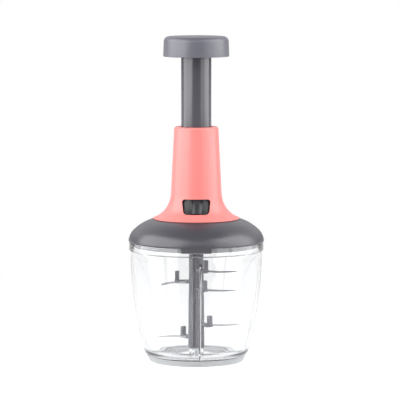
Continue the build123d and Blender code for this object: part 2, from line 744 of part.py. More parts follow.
def neck_inside():
    """Ribs beside the plunger's lugs, the shelf over the lock ring and the screw bosses."""
    parts = []
    for turn in TUBE_LUG_DEGS:
        for side in (-RIB_AT, RIB_AT):
            low = (SHELF_Z, RIB_WIDE_FROM_Z)
            high = (RIB_WIDE_FROM_Z, GUIDE_BOTTOM_Z)
            low_rib = radial_block(RIB_IN_R, NECK_LOW_R, RIB_THICK, *low, turn, side)
            parts.append(low_rib & disc(SHELF_NECK_R, *low))
            parts.append(radial_block(RIB_IN_R, NECK_LOW_R, RIB_THICK, *high, turn, side))
    shelf_top = SHELF_Z + SHELF_THICK
    parts.append(ring(SHELF_NECK_R, SHELF_R, SHELF_Z, shelf_top))
    swing_from = SLIDER_FROM_DEG - LOCK_TRAVEL_DEG - SWING_MARGIN_DEG
    swing_to = SLIDER_TO_DEG + SWING_MARGIN_DEG
    back = ring(NECK_EDGE_R, SHELF_R, SHELF_Z, shelf_top)
    parts.append(back - sector(NECK_EDGE_R, SHELF_Z, shelf_top, swing_from, swing_to))
    boss_r = SCREW_R + SCREW_BOSS_WALL
    for turn in NECK_SCREW_DEGS:
        parts.append(upright(boss_r, NECK_SCREW_AT_R, turn, NECK_SEAT_Z, NECK_FLARE_Z))
    return parts


def neck_housing():
    core = neck_core()
    inner_flare_z = NECK_SEAT_Z + DOME_WALL
    hollow = turned(
        (0, NECK_SEAT_Z),
        (neck_r(inner_flare_z, NECK_WALL), NECK_SEAT_Z),
        (neck_r(inner_flare_z, NECK_WALL), inner_flare_z),
        flare_step(inner_flare_z, NECK_FLARE_Z, NECK_WALL),
        (NECK_TOP_R - NECK_WALL, NECK_SIDE_TOP_Z),
        (0, NECK_SIDE_TOP_Z),
    )
    body = core - hollow
    for piece in neck_inside():
        body += piece & core
    body -= disc(NECK_BORE_R, NECK_SIDE_TOP_Z, NECK_TOP_Z)
    body -= window()
    for turn in NECK_SCREW_DEGS:
        top = DOME_PLATE_Z + NECK_SCREW_LENGTH
        body -= upright(SCREW_R, NECK_SCREW_AT_R, turn, NECK_SEAT_Z, top)
    return body


def plunger_guide_ring():
    top = GUIDE_BOTTOM_Z + GUIDE_H
    inset = NECK_WALL + SNUG_FIT
    body = cone(neck_r(GUIDE_BOTTOM_Z, inset), neck_r(top, inset), GUIDE_BOTTOM_Z, top)
    body -= disc(TUBE_R + RUNNING_FIT, GUIDE_BOTTOM_Z, top)
    groove_z = GUIDE_BOTTOM_Z + (GUIDE_H - GUIDE_GROOVE_H) / 2
    return body - disc(TUBE_R + GUIDE_GROOVE_DEPTH, groove_z, groove_z + GUIDE_GROOVE_H)


# ---------------------------------------------------------------- drive housing
def drive_housing():
    taper_z = TOWER_FLOOR_Z - (TOWER_R - HOUSING_R) / 2
    body = turned(
        (HOUSING_BORE_R, COVER_TOP_Z),
        (HOUSING_FLANGE_R, COVER_TOP_Z),
        (HOUSING_FLANGE_R, COVER_TOP_Z + HOUSING_FLANGE_H),
        (HOUSING_R, COVER_TOP_Z + HOUSING_FLANGE_H),
        (HOUSING_R, taper_z),
        (TOWER_R, TOWER_FLOOR_TOP_Z),
        (TOWER_R, TOWER_TOP_Z),
        (TOWER_BORE_R, TOWER_TOP_Z),
        (TOWER_BORE_R, TOWER_FLOOR_TOP_Z),
        (FOOT_SHANK_R + SEAT_GAP, TOWER_FLOOR_TOP_Z),
        (FOOT_SHANK_R + SEAT_GAP, TOWER_FLOOR_Z),
        (HOUSING_BORE_R, TOWER_FLOOR_Z),
    )
    gusset_foot = (HOUSING_FLANGE_R - HOUSING_WALL, COVER_TOP_Z + HOUSING_FLANGE_H / 2)
    gusset = outline(
        (HOUSING_R - HOUSING_WALL / 2, COVER_TOP_Z + HOUSING_FLANGE_H / 2),
        gusset_foot,
        (gusset_foot[0], COVER_TOP_Z + HOUSING_FLANGE_H + HOUSING_WALL),
        (HOUSING_R - HOUSING_WALL / 2, COVER_TOP_Z + HOUSING_FLANGE_H + GUSSET_H),
    )
    for i in range(HOUSING_GUSSETS):
        body += Rot(0, 0, 360 / HOUSING_GUSSETS * i) * extrude(gusset, GUSSET_THICK / 2, both=True)
    boss_r = SCREW_R + SCREW_BOSS_WALL
    boss_top = COVER_TOP_Z + HOUSING_BOSS_H
    screw_top = COVER_BOTTOM_Z + HOUSING_SCREW_LENGTH
    for turn in HOUSING_SCREW_DEGS:
        body += upright(boss_r, HOUSING_SCREW_AT_R, turn, COVER_TOP_Z, boss_top)
        body -= upright(SCREW_R, HOUSING_SCREW_AT_R, turn, COVER_TOP_Z, screw_top)
    return body


def return_spring():
    return coil(RETURN_WIRE, RETURN_COIL_R, RETURN_TURNS, TOWER_FLOOR_TOP_Z, NUT_BOTTOM_Z)


# ---------------------------------------------------------------- lock
def lock_ring():
    body = ring(LOCK_RING_R, LOCK_BORE_R, LOCK_RING_Z, LOCK_RING_TOP_Z)
    notch_w = TUBE_LUG_W + 2 * LOCK_NOTCH_GAP
    notch_r = TUBE_LUG_R + LOCK_NOTCH_GAP
    for turn in TUBE_LUG_DEGS:
        notch = radial_block(0, notch_r, notch_w, LOCK_RING_Z, LOCK_RING_TOP_Z, turn)
        body -= notch
    tab_end = neck_r(LOCK_RING_TOP_Z, SLIDER_INSET + SLIDER_THICK) - SNUG_FIT
    tab_from = (LOCK_BORE_R + LOCK_RING_R) / 2
    body += radial_block(tab_from, tab_end, LOCK_TAB_W, LOCK_RING_Z, LOCK_RING_TOP_Z, LOCK_FRONT_DEG)
    return body


def slider_shell(outer_inset, inner_inset, bottom, top):
    """A band that follows the neck's flare between two insets."""
    return turned(
        (neck_r(bottom, outer_inset), bottom),
        flare_step(bottom, top, outer_inset),
        (neck_r(top, inner_inset), top),
        flare_step(top, bottom, inner_inset),
    )


def lock_slider():
    bottom = WINDOW_BOTTOM_Z - SLIDER_LAP
    top = WINDOW_TOP_Z + SLIDER_LAP
    inner_inset = SLIDER_INSET + SLIDER_THICK
    plate = slider_shell(SLIDER_INSET, inner_inset, bottom, top)
    plate &= sector(NECK_EDGE_R, bottom, top, SLIDER_FROM_DEG, SLIDER_TO_DEG)
    grip_z = WINDOW_BOTTOM_Z + GRIP_END_GAP
    grip_top = WINDOW_TOP_Z - GRIP_END_GAP
    face = make_face(
        Polyline(
            (GRIP_LEFT, grip_z),
            (GRIP_RIGHT_BOTTOM, grip_z),
            (GRIP_RIGHT_TOP, grip_top),
            (GRIP_LEFT, grip_top),
            (GRIP_LEFT, grip_z),
        )
    )
    column = extrude(Plane.XZ.location * face, NECK_EDGE_R)
    grip = column & slider_shell(-GRIP_PROUD, inner_inset - SLIDER_THICK / 2, grip_z, grip_top)
    scoop_z = (grip_z + grip_top) / 2
    lean = math.radians(SCOOP_LEAN_DEG)
    lift = GRIP_PROUD + SCOOP_R - SCOOP_DEPTH
    scoop_x = (GRIP_LEFT + (GRIP_RIGHT_TOP + GRIP_RIGHT_BOTTOM) / 2) / 2
    scoop_at = Pos(scoop_x, -neck_r(scoop_z) - lift * math.cos(lean), scoop_z + lift * math.sin(lean))
    grip -= scoop_at * Rot(-SCOOP_LEAN_DEG, 0, 0) * Cylinder(SCOOP_R, NECK_EDGE_R)
    boss_mid = (LOCK_RING_Z + LOCK_RING_TOP_Z) / 2
    boss_low = boss_mid - SLIDER_BOSS_H / 2
    boss_top = boss_mid + SLIDER_BOSS_H / 2
    boss = radial_block(SLIDER_BOSS_R, NECK_EDGE_R, SLIDER_BOSS_W, boss_low, boss_top, LOCK_FRONT_DEG)
    body = plate + grip
    body += boss & turned(
        (0, boss_low),
        (neck_r(boss_low, inner_inset - SLIDER_THICK / 2), boss_low),
        flare_step(boss_low, boss_top, inner_inset - SLIDER_THICK / 2),
        (0, boss_top),
    )
    slot = radial_block(
        0,
        neck_r(LOCK_RING_TOP_Z, inner_inset),
        LOCK_TAB_W + 2 * SNUG_FIT,
        LOCK_RING_Z - SNUG_FIT,
        LOCK_RING_TOP_Z + SNUG_FIT,
        LOCK_FRONT_DEG,
    )
    return body - slot


# ---------------------------------------------------------------- plunger
def plunger_tube():
    body = ring(TUBE_R, TUBE_IN_R, TUBE_BOTTOM_Z, TUBE_TOP_Z)
    cap_z = TUBE_TOP_Z - TUBE_CAP_THICK
    body += disc(TUBE_IN_R, cap_z, TUBE_TOP_Z)
    body += disc(TUBE_BOSS_R, cap_z - TUBE_BOSS_H, cap_z)
    for turn in TUBE_LUG_DEGS:
        lug = radial_block(
            (TUBE_IN_R + TUBE_R) / 2, TUBE_LUG_R, TUBE_LUG_W, TUBE_BOTTOM_Z, TUBE_BOTTOM_Z + TUBE_LUG_H, turn
        )
        body += lug & disc(TUBE_LUG_R, TUBE_BOTTOM_Z, TUBE_BOTTOM_Z + TUBE_LUG_H)
    return body - disc(SCREW_R, cap_z - TUBE_BOSS_H, TUBE_TOP_Z)


def drive_nut():
    top = NUT_BOTTOM_Z + NUT_H
    body = disc(TUBE_IN_R - SNUG_FIT, NUT_BOTTOM_Z, top)
    slot_w = STRIP_W + 2 * HELIX_FIT
    slot_t = STRIP_THICK + 2 * HELIX_FIT
    return body - Part(strip(slot_w, slot_t, NUT_BOTTOM_Z - OVERRUN, top + OVERRUN).wrapped)


def knob_profile(inset):
    """The knob's outer line, moved inwards by inset, from its rim to its crown."""
    side = (KNOB_SIDE_R - inset, KNOB_SIDE_Z)
    corner = (KNOB_CORNER_R, KNOB_TOP_Z - KNOB_CROWN - inset)
    return (
        (KNOB_R - inset, KNOB_BOTTOM_Z),
        side,
        rounded(side, corner),
        crowned(corner, KNOB_TOP_Z - inset),
    )


def plunger_knob():
    body = turned((0, KNOB_BOTTOM_Z), *knob_profile(0))
    return body - turned((0, KNOB_BOTTOM_Z), *knob_profile(KNOB_WALL))


def knob_base():
    top = KNOB_BOTTOM_Z + KNOB_BASE_THICK
    sleeve_in = TUBE_R + SNUG_FIT
    sleeve_r = sleeve_in + KNOB_SLEEVE_WALL
    plate_r = KNOB_R - KNOB_WALL - SNUG_FIT - KNOB_BASE_THICK * (KNOB_R - KNOB_SIDE_R) / (
        KNOB_SIDE_Z - KNOB_BOTTOM_Z
    )
    body = disc(plate_r, KNOB_BOTTOM_Z, top)
    body += disc(sleeve_r, top, KNOB_WEB_TOP_Z)
    rib_top = top + KNOB_RIB_H
    for i in range(KNOB_RIBS):
        turn = 360 / KNOB_RIBS * i
        body += radial_block(sleeve_in, plate_r - KNOB_WALL, KNOB_BASE_THICK / 2, top, rib_top, turn)
    body -= disc(sleeve_in, KNOB_BOTTOM_Z, TUBE_TOP_Z)
    return body - disc(SCREW_R, TUBE_TOP_Z, KNOB_WEB_TOP_Z)


def knob_screw():
    return screw(0, 0, KNOB_WEB_TOP_Z, KNOB_SCREW_LENGTH, heads_up=True)


# ---------------------------------------------------------------- spiral drive
def spiral_rod():
    return strip(STRIP_W, STRIP_THICK, STRIP_BOTTOM_Z, STRIP_TOP_Z)


def spiral_foot():
    body = disc(FOOT_PIVOT_R, FOOT_BOTTOM_Z - FOOT_PIVOT_H, FOOT_BOTTOM_Z)
    body += hexagon(FOOT_HEX, FOOT_BOTTOM_Z, FOOT_COLLAR_Z)
    body += disc(FOOT_COLLAR_R, FOOT_COLLAR_Z, FOOT_COLLAR_TOP_Z)
    body += disc(FOOT_SHANK_R, FOOT_COLLAR_TOP_Z, FOOT_SHANK_TOP_Z)
    socket = strip(STRIP_W, STRIP_THICK, STRIP_BOTTOM_Z, STRIP_TOP_Z)
    return body - Part(socket.wrapped)


def thrust_washer():
    return ring(WASHER_R, FOOT_PIVOT_R + RUNNING_FIT, HUB_TOP_Z, WASHER_TOP_Z)


def ratchet_teeth(bottom):
    """A ring of saw teeth whose upright faces look round anticlockwise."""
    width = 2 * math.pi * HUB_FLANGE_R / TEETH
    tooth = make_face(
        Polyline((0, -width, bottom), (0, 0, bottom), (0, 0, bottom + TOOTH_H), (0, -width, bottom))
    )
    prism = extrude(tooth, HUB_FLANGE_R + TOOTH_H, dir=(1, 0, 0))
    belt = ring(HUB_FLANGE_R, HUB_RECESS_R, bottom, bottom + TOOTH_H)
    crown = [Rot(0, 0, 360 / TEETH * i) * prism & belt for i in range(TEETH)]
    return crown[0] + crown[1:]


def clutch_ring():
    body = ring(HUB_FLANGE_R, HUB_RECESS_R, CLUTCH_TEETH_Z, CLUTCH_BODY_Z)
    body += disc(HUB_FLANGE_R, CLUTCH_BODY_Z, CLUTCH_TOP_Z)
    body -= hexagon(FOOT_HEX + 2 * HEX_FIT, CLUTCH_BODY_Z, CLUTCH_TOP_Z)
    return body - Rot(0, 0, TOOTH_TURN_DEG) * Pos(0, 0, TOOTH_GAP) * ratchet_teeth(HUB_TOP_Z)


def clutch_spring():
    return coil(CLUTCH_WIRE, CLUTCH_COIL_R, CLUTCH_TURNS, CLUTCH_TOP_Z, FOOT_COLLAR_Z)


def output_hub():
    body = disc(HUB_JOURNAL_R, HUB_BOTTOM_Z, HUB_FLANGE_Z)
    body += disc(HUB_FLANGE_R, HUB_FLANGE_Z, HUB_TOP_Z)
    body += ratchet_teeth(HUB_TOP_Z)
    socket = SHAFT_HEX + 2 * HEX_FIT
    body -= hexagon(socket, HUB_BOTTOM_Z, HUB_SOCKET_TOP_Z)
    lead_in = HUB_BOTTOM_Z + HUB_LEAD_IN
    body -= cone(socket / 2 + 2 * HUB_LEAD_IN, socket / 2 + HUB_LEAD_IN / 2, HUB_BOTTOM_Z, lead_in)
    body -= disc(FOOT_PIVOT_R + RUNNING_FIT, FOOT_BOTTOM_Z - FOOT_PIVOT_H - THRUST_GAP, HUB_TOP_Z)
    return body - ring(HUB_JOURNAL_R, CLIP_IN_R, CLIP_TOP_Z - CLIP_H, CLIP_TOP_Z)


def hub_bush():
    body = ring(BUSH_R, BUSH_IN_R, BUSH_BOTTOM_Z, COVER_BOSS_TOP_Z)
    return body + ring(HUB_FLANGE_R, BUSH_IN_R, COVER_BOSS_TOP_Z, BUSH_TOP_Z)


def hub_retaining_clip():
    body = ring(CLIP_R, CLIP_IN_R, CLIP_TOP_Z - CLIP_H, CLIP_TOP_Z)
    return body - radial_block(0, CLIP_R, CLIP_OPENING, CLIP_TOP_Z - CLIP_H, CLIP_TOP_Z, 0)


# ---------------------------------------------------------------- blade unit
def polar(radius, degrees):
    """A point of a blade's outline, in the blade's own plane."""
    return (radius * math.cos(math.radians(degrees)), radius * math.sin(math.radians(degrees)))


def blade(height, at_deg):
    """A thin sickle, swept back round the shaft, with its outer edge ground to a bevel."""
    front = (BLADE_ROOT_R, -BLADE_ROOT_W / 2)
    back = (BLADE_ROOT_R, BLADE_ROOT_W / 2)
    tip = polar(BLADE_TIP_R, BLADE_SWEEP_DEG)
    belly = polar(BLADE_BELLY_SHARE * BLADE_TIP_R, BLADE_BELLY_DEG)
    hollow = polar(BLADE_BACK_SHARE * BLADE_TIP_R, BLADE_BACK_DEG)
    edge = ThreePointArc(front, belly, tip)
    spine = ThreePointArc(tip, hollow, back)
    plate = extrude(make_face([edge, spine, Line(back, front)]), BLADE_THICK)
    ground = plate.faces().sort_by(Axis.Z)[-1].edges().filter_by(GeomType.CIRCLE).sort_by(Axis.X)[-1]
    plate = chamfer(ground, BLADE_BEVEL_H, BLADE_BEVEL_W)
    return Pos(0, 0, height - BLADE_THICK / 2) * Rot(0, 0, at_deg) * plate


def blade_arm(height, at_deg, peg_height):
    """The moulded holder of one blade, with the upright peg at its end."""
    low = height - ARM_THICK / 2
    top = height + ARM_THICK / 2
    arm = radial_block(ARM_FROM_R, ARM_TO_R, ARM_W, low, top, at_deg)
    arm += upright(ARM_W / 2, ARM_TO_R, at_deg, low, top)
    from_r = PEG_AT_R - PEG_DEPTH / 2
    return arm + radial_block(from_r, from_r + PEG_DEPTH, PEG_W, top, top + peg_height, at_deg)


def blade_carrier(body, which):
    """Put the arms of one half of the stack on its shaft."""
    for _, height, at_deg, peg_height, carrier in BLADES:
        if carrier == which:
            body += blade_arm(height, at_deg, peg_height)
    return body


def blade_slots(body, which):
    """Cut the seats of the blades out of the arms."""
    for _, height, at_deg, _, carrier in BLADES:
        if carrier == which:
            body -= blade(height, at_deg)
    return body


def blade_shaft_lower():
    body = cone(SHAFT_BOTTOM_R, SHAFT_SEAM_R, SHAFT_BOTTOM_Z, SHAFT_SEAM_Z)
    body = blade_carrier(body, "lower")
    body += disc(SPIGOT_R, SHAFT_SEAM_Z, SHAFT_SEAM_Z + SPIGOT_H)
    body = blade_slots(body, "lower")
    bush_r = PIN_R + RUNNING_FIT + SHAFT_BUSH_WALL
    body -= disc(bush_r, SHAFT_BOTTOM_Z, SHAFT_BUSH_TOP_Z)
    return body - disc(PIN_R + PIN_TIP, SHAFT_BUSH_TOP_Z, PIN_TOP_Z + PIN_TIP)


def blade_shaft_upper():
    body = cone(SHAFT_UPPER_R, SHAFT_TOP_R, SHAFT_SEAM_Z, SHAFT_TOP_Z)
    body = blade_carrier(body, "upper")
    body += hexagon(SHAFT_HEX, SHAFT_TOP_Z, SHAFT_HEX_TOP_Z)
    body = blade_slots(body, "upper")
    return body - disc(SPIGOT_R, SHAFT_SEAM_Z, SHAFT_SEAM_Z + SPIGOT_H + SEAT_GAP)


def shaft_bush():
    inner_r = PIN_R + RUNNING_FIT
    return ring(inner_r + SHAFT_BUSH_WALL, inner_r, SHAFT_BOTTOM_Z, SHAFT_BUSH_TOP_Z)


# ---------------------------------------------------------------- write every piece
PIECES = [
    bowl,
    base_grip_ring,
    blade_pivot_pin,
    lid_dome,
    lid_seal,
    drive_cover,
    neck_housing,
    plunger_guide_ring,
    drive_housing,
    return_spring,
    lock_ring,
    lock_slider,
    plunger_tube,
    drive_nut,
    plunger_knob,
    knob_base,
    knob_screw,
    spiral_rod,
    spiral_foot,
    thrust_washer,
    clutch_ring,
    clutch_spring,
    output_hub,
    hub_bush,
    hub_retaining_clip,
    blade_shaft_lower,
    blade_shaft_upper,
    shaft_bush,
]

os.makedirs("parts", exist_ok=True)
for piece in PIECES:
    save(piece.__name__, piece())
for fasteners in (cover_screws, housing_screws, neck_screws):
    save_group(fasteners.__name__, fasteners())
for name, height, at_deg, _, _ in BLADES:
    save(name, blade(height, at_deg))
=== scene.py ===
# %% [markdown]
# # A hand-press food chopper
#
# The chopper has a knob on a long tube. Pressing it drives a spiral inside the coral neck,
# and the spiral turns a stack of sickle blades in a clear bowl. The engineering model is
# loaded first as a fixed frame: it says where every part sits and how it moves. The pieces
# below are then modelled around that frame, in metres, one step at a time.

# %% Load the fixed frame
import math

import bmesh
import bpy
from mathutils import Matrix, Vector


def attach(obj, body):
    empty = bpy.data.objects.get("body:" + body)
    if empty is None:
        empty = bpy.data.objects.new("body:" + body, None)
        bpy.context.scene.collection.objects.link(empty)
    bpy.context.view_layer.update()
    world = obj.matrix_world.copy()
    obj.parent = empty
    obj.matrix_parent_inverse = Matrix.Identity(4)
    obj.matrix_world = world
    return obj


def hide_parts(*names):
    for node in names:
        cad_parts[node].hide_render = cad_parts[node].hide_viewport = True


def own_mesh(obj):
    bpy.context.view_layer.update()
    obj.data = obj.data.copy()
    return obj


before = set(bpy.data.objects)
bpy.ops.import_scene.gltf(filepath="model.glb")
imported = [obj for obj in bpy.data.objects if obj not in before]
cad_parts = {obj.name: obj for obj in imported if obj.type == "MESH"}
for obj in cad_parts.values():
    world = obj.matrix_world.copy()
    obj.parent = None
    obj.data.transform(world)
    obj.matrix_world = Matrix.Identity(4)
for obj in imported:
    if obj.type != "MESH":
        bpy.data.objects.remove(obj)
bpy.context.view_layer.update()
MM = 0.001

# %% [markdown]
# ## Outlines that are turned
#
# Nearly everything on a chopper is round, so most pieces are one outline spun about the
# upright axis. An outline is a list of (radius, height) points in millimetres. Arcs are
# written by their ends and how far they bow out, and real mouldings never have a knife
# edge, so every sharp corner of an outline is softened before it is spun.

# %% Arcs and softened corners
ARC_STEPS = 12
SHARP = math.radians(24)


def arc(start, middle, end, count=ARC_STEPS):
    """Points after start, along the circle through three points, up to end."""
    (x1, y1), (x2, y2), (x3, y3) = start, middle, end
    s1, s2, s3 = x1 * x1 + y1 * y1, x2 * x2 + y2 * y2, x3 * x3 + y3 * y3
    d = 2 * (x1 * (y2 - y3) + x2 * (y3 - y1) + x3 * (y1 - y2))
    cx = (s1 * (y2 - y3) + s2 * (y3 - y1) + s3 * (y1 - y2)) / d
    cy = (s1 * (x3 - x2) + s2 * (x1 - x3) + s3 * (x2 - x1)) / d
    first = math.atan2(y1 - cy, x1 - cx)
    through = (math.atan2(y2 - cy, x2 - cx) - first) % math.tau
    whole = (math.atan2(y3 - cy, x3 - cx) - first) % math.tau
    if through > whole:
        whole -= math.tau
    radius = math.dist((cx, cy), start)
    angles = [first + whole * i / count for i in range(1, count + 1)]
    return [(cx + radius * math.cos(a), cy + radius * math.sin(a)) for a in angles]


def bow(start, end, rise, count=ARC_STEPS):
    """An arc that stands off its chord by rise, on the right of the way to its end."""
    run, climb = end[0] - start[0], end[1] - start[1]
    chord = math.hypot(run, climb)
    middle = (
        (start[0] + end[0]) / 2 + rise * climb / chord,
        (start[1] + end[1]) / 2 - rise * run / chord,
    )
    return arc(start, middle, end, count)


def quarter(start, end, count=8):
    """A quarter round on the right of the way."""
    return bow(start, end, (math.sqrt(2) - 1) / 2 * math.dist(start, end), count)


def soften(outline, radius, count=4):
    """Round each sharp corner of a closed outline with a small blend."""
    points = []
    for i, here in enumerate(outline):
        back = Vector(outline[i - 1]) - Vector(here)
        ahead = Vector(outline[(i + 1) % len(outline)]) - Vector(here)
        if here[0] < 1e-6 or math.pi - back.angle(ahead) < SHARP:
            points.append(here)
            continue
        cut = min(radius, 0.45 * back.length, 0.45 * ahead.length)
        a, b = Vector(here) + back.normalized() * cut, Vector(here) + ahead.normalized() * cut
        for k in range(count + 1):
            t = k / count
            points.append(tuple((1 - t) ** 2 * a + 2 * t * (1 - t) * Vector(here) + t * t * b))
    return points


print("a quarter round has", len(quarter((10, 0), (0, 10))), "points")

# %% [markdown]
# ## From an outline to a piece
#
# `turned` spins an outline with bmesh's spin operator and welds the seam and the poles.
# `joined` unites or cuts two shapes with the exact Boolean. `finish_piece` turns the
# result into an object at the origin, hangs it on its body, and hides the engineering
# nodes it stands for.

# %% Modelling helpers
TURN_STEPS = 144
WELD, SMOOTH_TO = 1e-6, math.radians(35)
pieces = {}


def turned(outline, steps=TURN_STEPS, soft=0.25):
    """A closed solid, spun about the Z axis from an outline in millimetres."""
    bm = bmesh.new()
    ring = soften(outline, soft) if soft else outline
    verts = [bm.verts.new((r * MM, 0, z * MM)) for r, z in ring]
    edges = []
    for a, b in zip(verts, verts[1:] + verts[:1]):
        if a.co.x > WELD or b.co.x > WELD:
            edges.append(bm.edges.new((a, b)))
    bmesh.ops.spin(
        bm, geom=verts + edges, cent=(0, 0, 0), axis=(0, 0, 1), dvec=(0, 0, 0),
        angle=math.tau, steps=steps, use_merge=True,
    )
    bmesh.ops.remove_doubles(bm, verts=bm.verts[:], dist=WELD)
    bmesh.ops.recalc_face_normals(bm, faces=bm.faces[:])
    return bm


def place(at_deg=0.0, centre=(0, 0, 0)):
    """A matrix that moves by centre, in millimetres, then turns about the Z axis."""
    spin = Matrix.Rotation(math.radians(at_deg), 4, "Z")
    return spin @ Matrix.Translation(Vector(centre) * MM)


def block(size, centre, at_deg=0.0, edge=0.0):
    """A box with rounded edges, turned about the Z axis after it is put in place."""
    bm = bmesh.new()
    bmesh.ops.create_cube(bm, size=1, matrix=Matrix.Diagonal((*(Vector(size) * MM), 1)))
    if edge:
        bmesh.ops.bevel(
            bm, geom=bm.edges[:], offset=edge * MM, offset_type="OFFSET", segments=3,
            profile=0.5, affect="EDGES", clamp_overlap=True, material=-1,
        )
    bmesh.ops.transform(bm, matrix=place(at_deg, centre), verts=bm.verts)
    return bm


def plate(outline, thick, matrix, corner=0.0, edge=0.0):
    """A flat outline in X and Y, its corners rounded, given a thickness along Z."""
    bm = bmesh.new()
    face = bm.faces.new([bm.verts.new((x * MM, y * MM, 0)) for x, y in outline])
    if corner:
        bmesh.ops.bevel(
            bm, geom=bm.verts[:], offset=corner * MM, offset_type="OFFSET", segments=6,
            profile=0.5, affect="VERTICES", clamp_overlap=True, material=-1,
        )
        face = bm.faces[:][0]
    made = bmesh.ops.extrude_face_region(bm, geom=[face], use_keep_orig=True)
    top = [v for v in made["geom"] if isinstance(v, bmesh.types.BMVert)]
    bmesh.ops.translate(bm, vec=(0, 0, thick * MM), verts=top)
    bmesh.ops.recalc_face_normals(bm, faces=bm.faces[:])
    if edge:
        rims = [e for e in bm.edges if abs(e.verts[0].co.z - e.verts[1].co.z) < WELD]
        bmesh.ops.bevel(
            bm, geom=rims, offset=edge * MM, offset_type="OFFSET", segments=3,
            profile=0.5, affect="EDGES", clamp_overlap=True, material=-1,
        )
    bmesh.ops.transform(bm, matrix=matrix, verts=bm.verts)
    return bm


def as_object(bm, name):
    """Put a bmesh into a new object of the scene."""
    mesh = bpy.data.meshes.new(name)
    bm.to_mesh(mesh)
    bm.free()
    thing = bpy.data.objects.new(name, mesh)
    bpy.context.scene.collection.objects.link(thing)
    return thing


def joined(bm, tool, operation="UNION"):
    """Unite, cut or intersect one bmesh with another, through an exact Boolean."""
    base, other = as_object(bm, "base"), as_object(tool, "tool")
    step = base.modifiers.new("join", "BOOLEAN")
    step.operation, step.solver, step.object = operation, "EXACT", other
    shape = base.evaluated_get(bpy.context.evaluated_depsgraph_get())
    out = bmesh.new()
    out.from_mesh(shape.to_mesh())
    shape.to_mesh_clear()
    for spent in (base, other):
        mesh = spent.data
        bpy.data.objects.remove(spent)
        bpy.data.meshes.remove(mesh)
    bmesh.ops.remove_doubles(out, verts=out.verts[:], dist=WELD)
    return out


def eased(bm, width, over=32):
    """Round the edges at which a shape turns by more than an angle in degrees."""
    turns = [e for e in bm.edges if e.is_manifold and e.calc_face_angle() > math.radians(over)]
    bmesh.ops.bevel(
        bm, geom=turns, offset=width * MM, offset_type="OFFSET", segments=3, profile=0.5,
        affect="EDGES", clamp_overlap=True, material=-1,
    )
    return bm


def finish_piece(name, bm, body, slot, *nodes):
    """Make the bmesh a smooth-shaded piece that rides on a body and replaces CAD nodes."""
    thing = as_object(bm, name)
    for face in thing.data.polygons:
        face.use_smooth = True
    thing.data.set_sharp_from_angle(angle=SMOOTH_TO)
    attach(thing, body)
    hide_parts(*nodes)
    pieces[name] = thing
    print(name, len(thing.data.polygons), "faces")
    return thing


# %% [markdown]
# ## The knob
#
# The knob is a shallow mushroom cap for the palm: nearly upright sides, a generous corner
# and a slightly crowned top. It is a thin moulding, so the outline runs up the outside and
# back down the inside. One spin gives both walls at once.

# %% Knob
KNOB_BOTTOM, KNOB_SIDE, KNOB_TOP = 303.0, 317.5, 323.5
KNOB_R, KNOB_SIDE_R, KNOB_CORNER_R = 32.75, 32.2, 27.0
KNOB_CROWN, KNOB_WALL, NEAR_AXIS = 0.6, 2.4, 0.3


def knob_line(inset):
    """The knob's side, corner and crown, moved inwards."""
    foot, side = (KNOB_R - inset, KNOB_BOTTOM), (KNOB_SIDE_R - inset, KNOB_SIDE)
    corner = (KNOB_CORNER_R, KNOB_TOP - KNOB_CROWN - inset)
    top = KNOB_TOP - inset
    mirrored = (-corner[0], corner[1])
    crown = [p for p in arc(corner, (0, top), mirrored, 24) if p[0] > NEAR_AXIS]
    return [foot, side, *quarter(side, corner, 12), *crown, (0, top)]


knob_bm = turned(knob_line(0) + knob_line(KNOB_WALL)[::-1], soft=0.4)
finish_piece("knob_cap", knob_bm, "plunger", "slate_plastic", "plunger_knob")

# %% [markdown]
# ## The plunger tube
#
# A straight tube, closed at the top where a screw holds the knob. Three small lugs at its
# foot slide between ribs in the neck and drop through the notches of the lock ring.

# %% Plunger tube
TUBE_R, TUBE_IN_R, TUBE_BOTTOM, TUBE_TOP = 15.0, 12.8, 213.4, 312.0
TUBE_CAP, TUBE_BOSS_R, TUBE_BOSS, SCREW_R = 309.0, 4.0, 1.6, 1.45
TUBE_LUG_DEGS, TUBE_LUG_SIZE, TUBE_LUG_AT = (-30, 90, 210), (4.0, 7.0, 3.2), 16.0

tube_bm = turned([
    (TUBE_R, TUBE_BOTTOM), (TUBE_R, TUBE_TOP), (SCREW_R, TUBE_TOP),
    (SCREW_R, TUBE_CAP - TUBE_BOSS), (TUBE_BOSS_R, TUBE_CAP - TUBE_BOSS),
    (TUBE_BOSS_R, TUBE_CAP), (TUBE_IN_R, TUBE_CAP), (TUBE_IN_R, TUBE_BOTTOM),
], soft=0.3)
for turn in TUBE_LUG_DEGS:
    lug_z = TUBE_BOTTOM + TUBE_LUG_SIZE[2] / 2 + 0.01
    tube_bm = joined(tube_bm, block(TUBE_LUG_SIZE, (TUBE_LUG_AT, 0, lug_z), turn, 0.2))
finish_piece("tube", tube_bm, "plunger", "slate_plastic", "plunger_tube")

# %% [markdown]
# ## The neck
#
# The coral neck is a slim cone that flares out in one clean arc to meet the dome. The arc
# has to leave the cone without a kink, so its circle is worked out from the cone's slope.
# Its edge stands out over the dome by a hair, which draws a dark line around the seam. A
# rounded window in the flare shows the lock slider, cut with a Boolean.

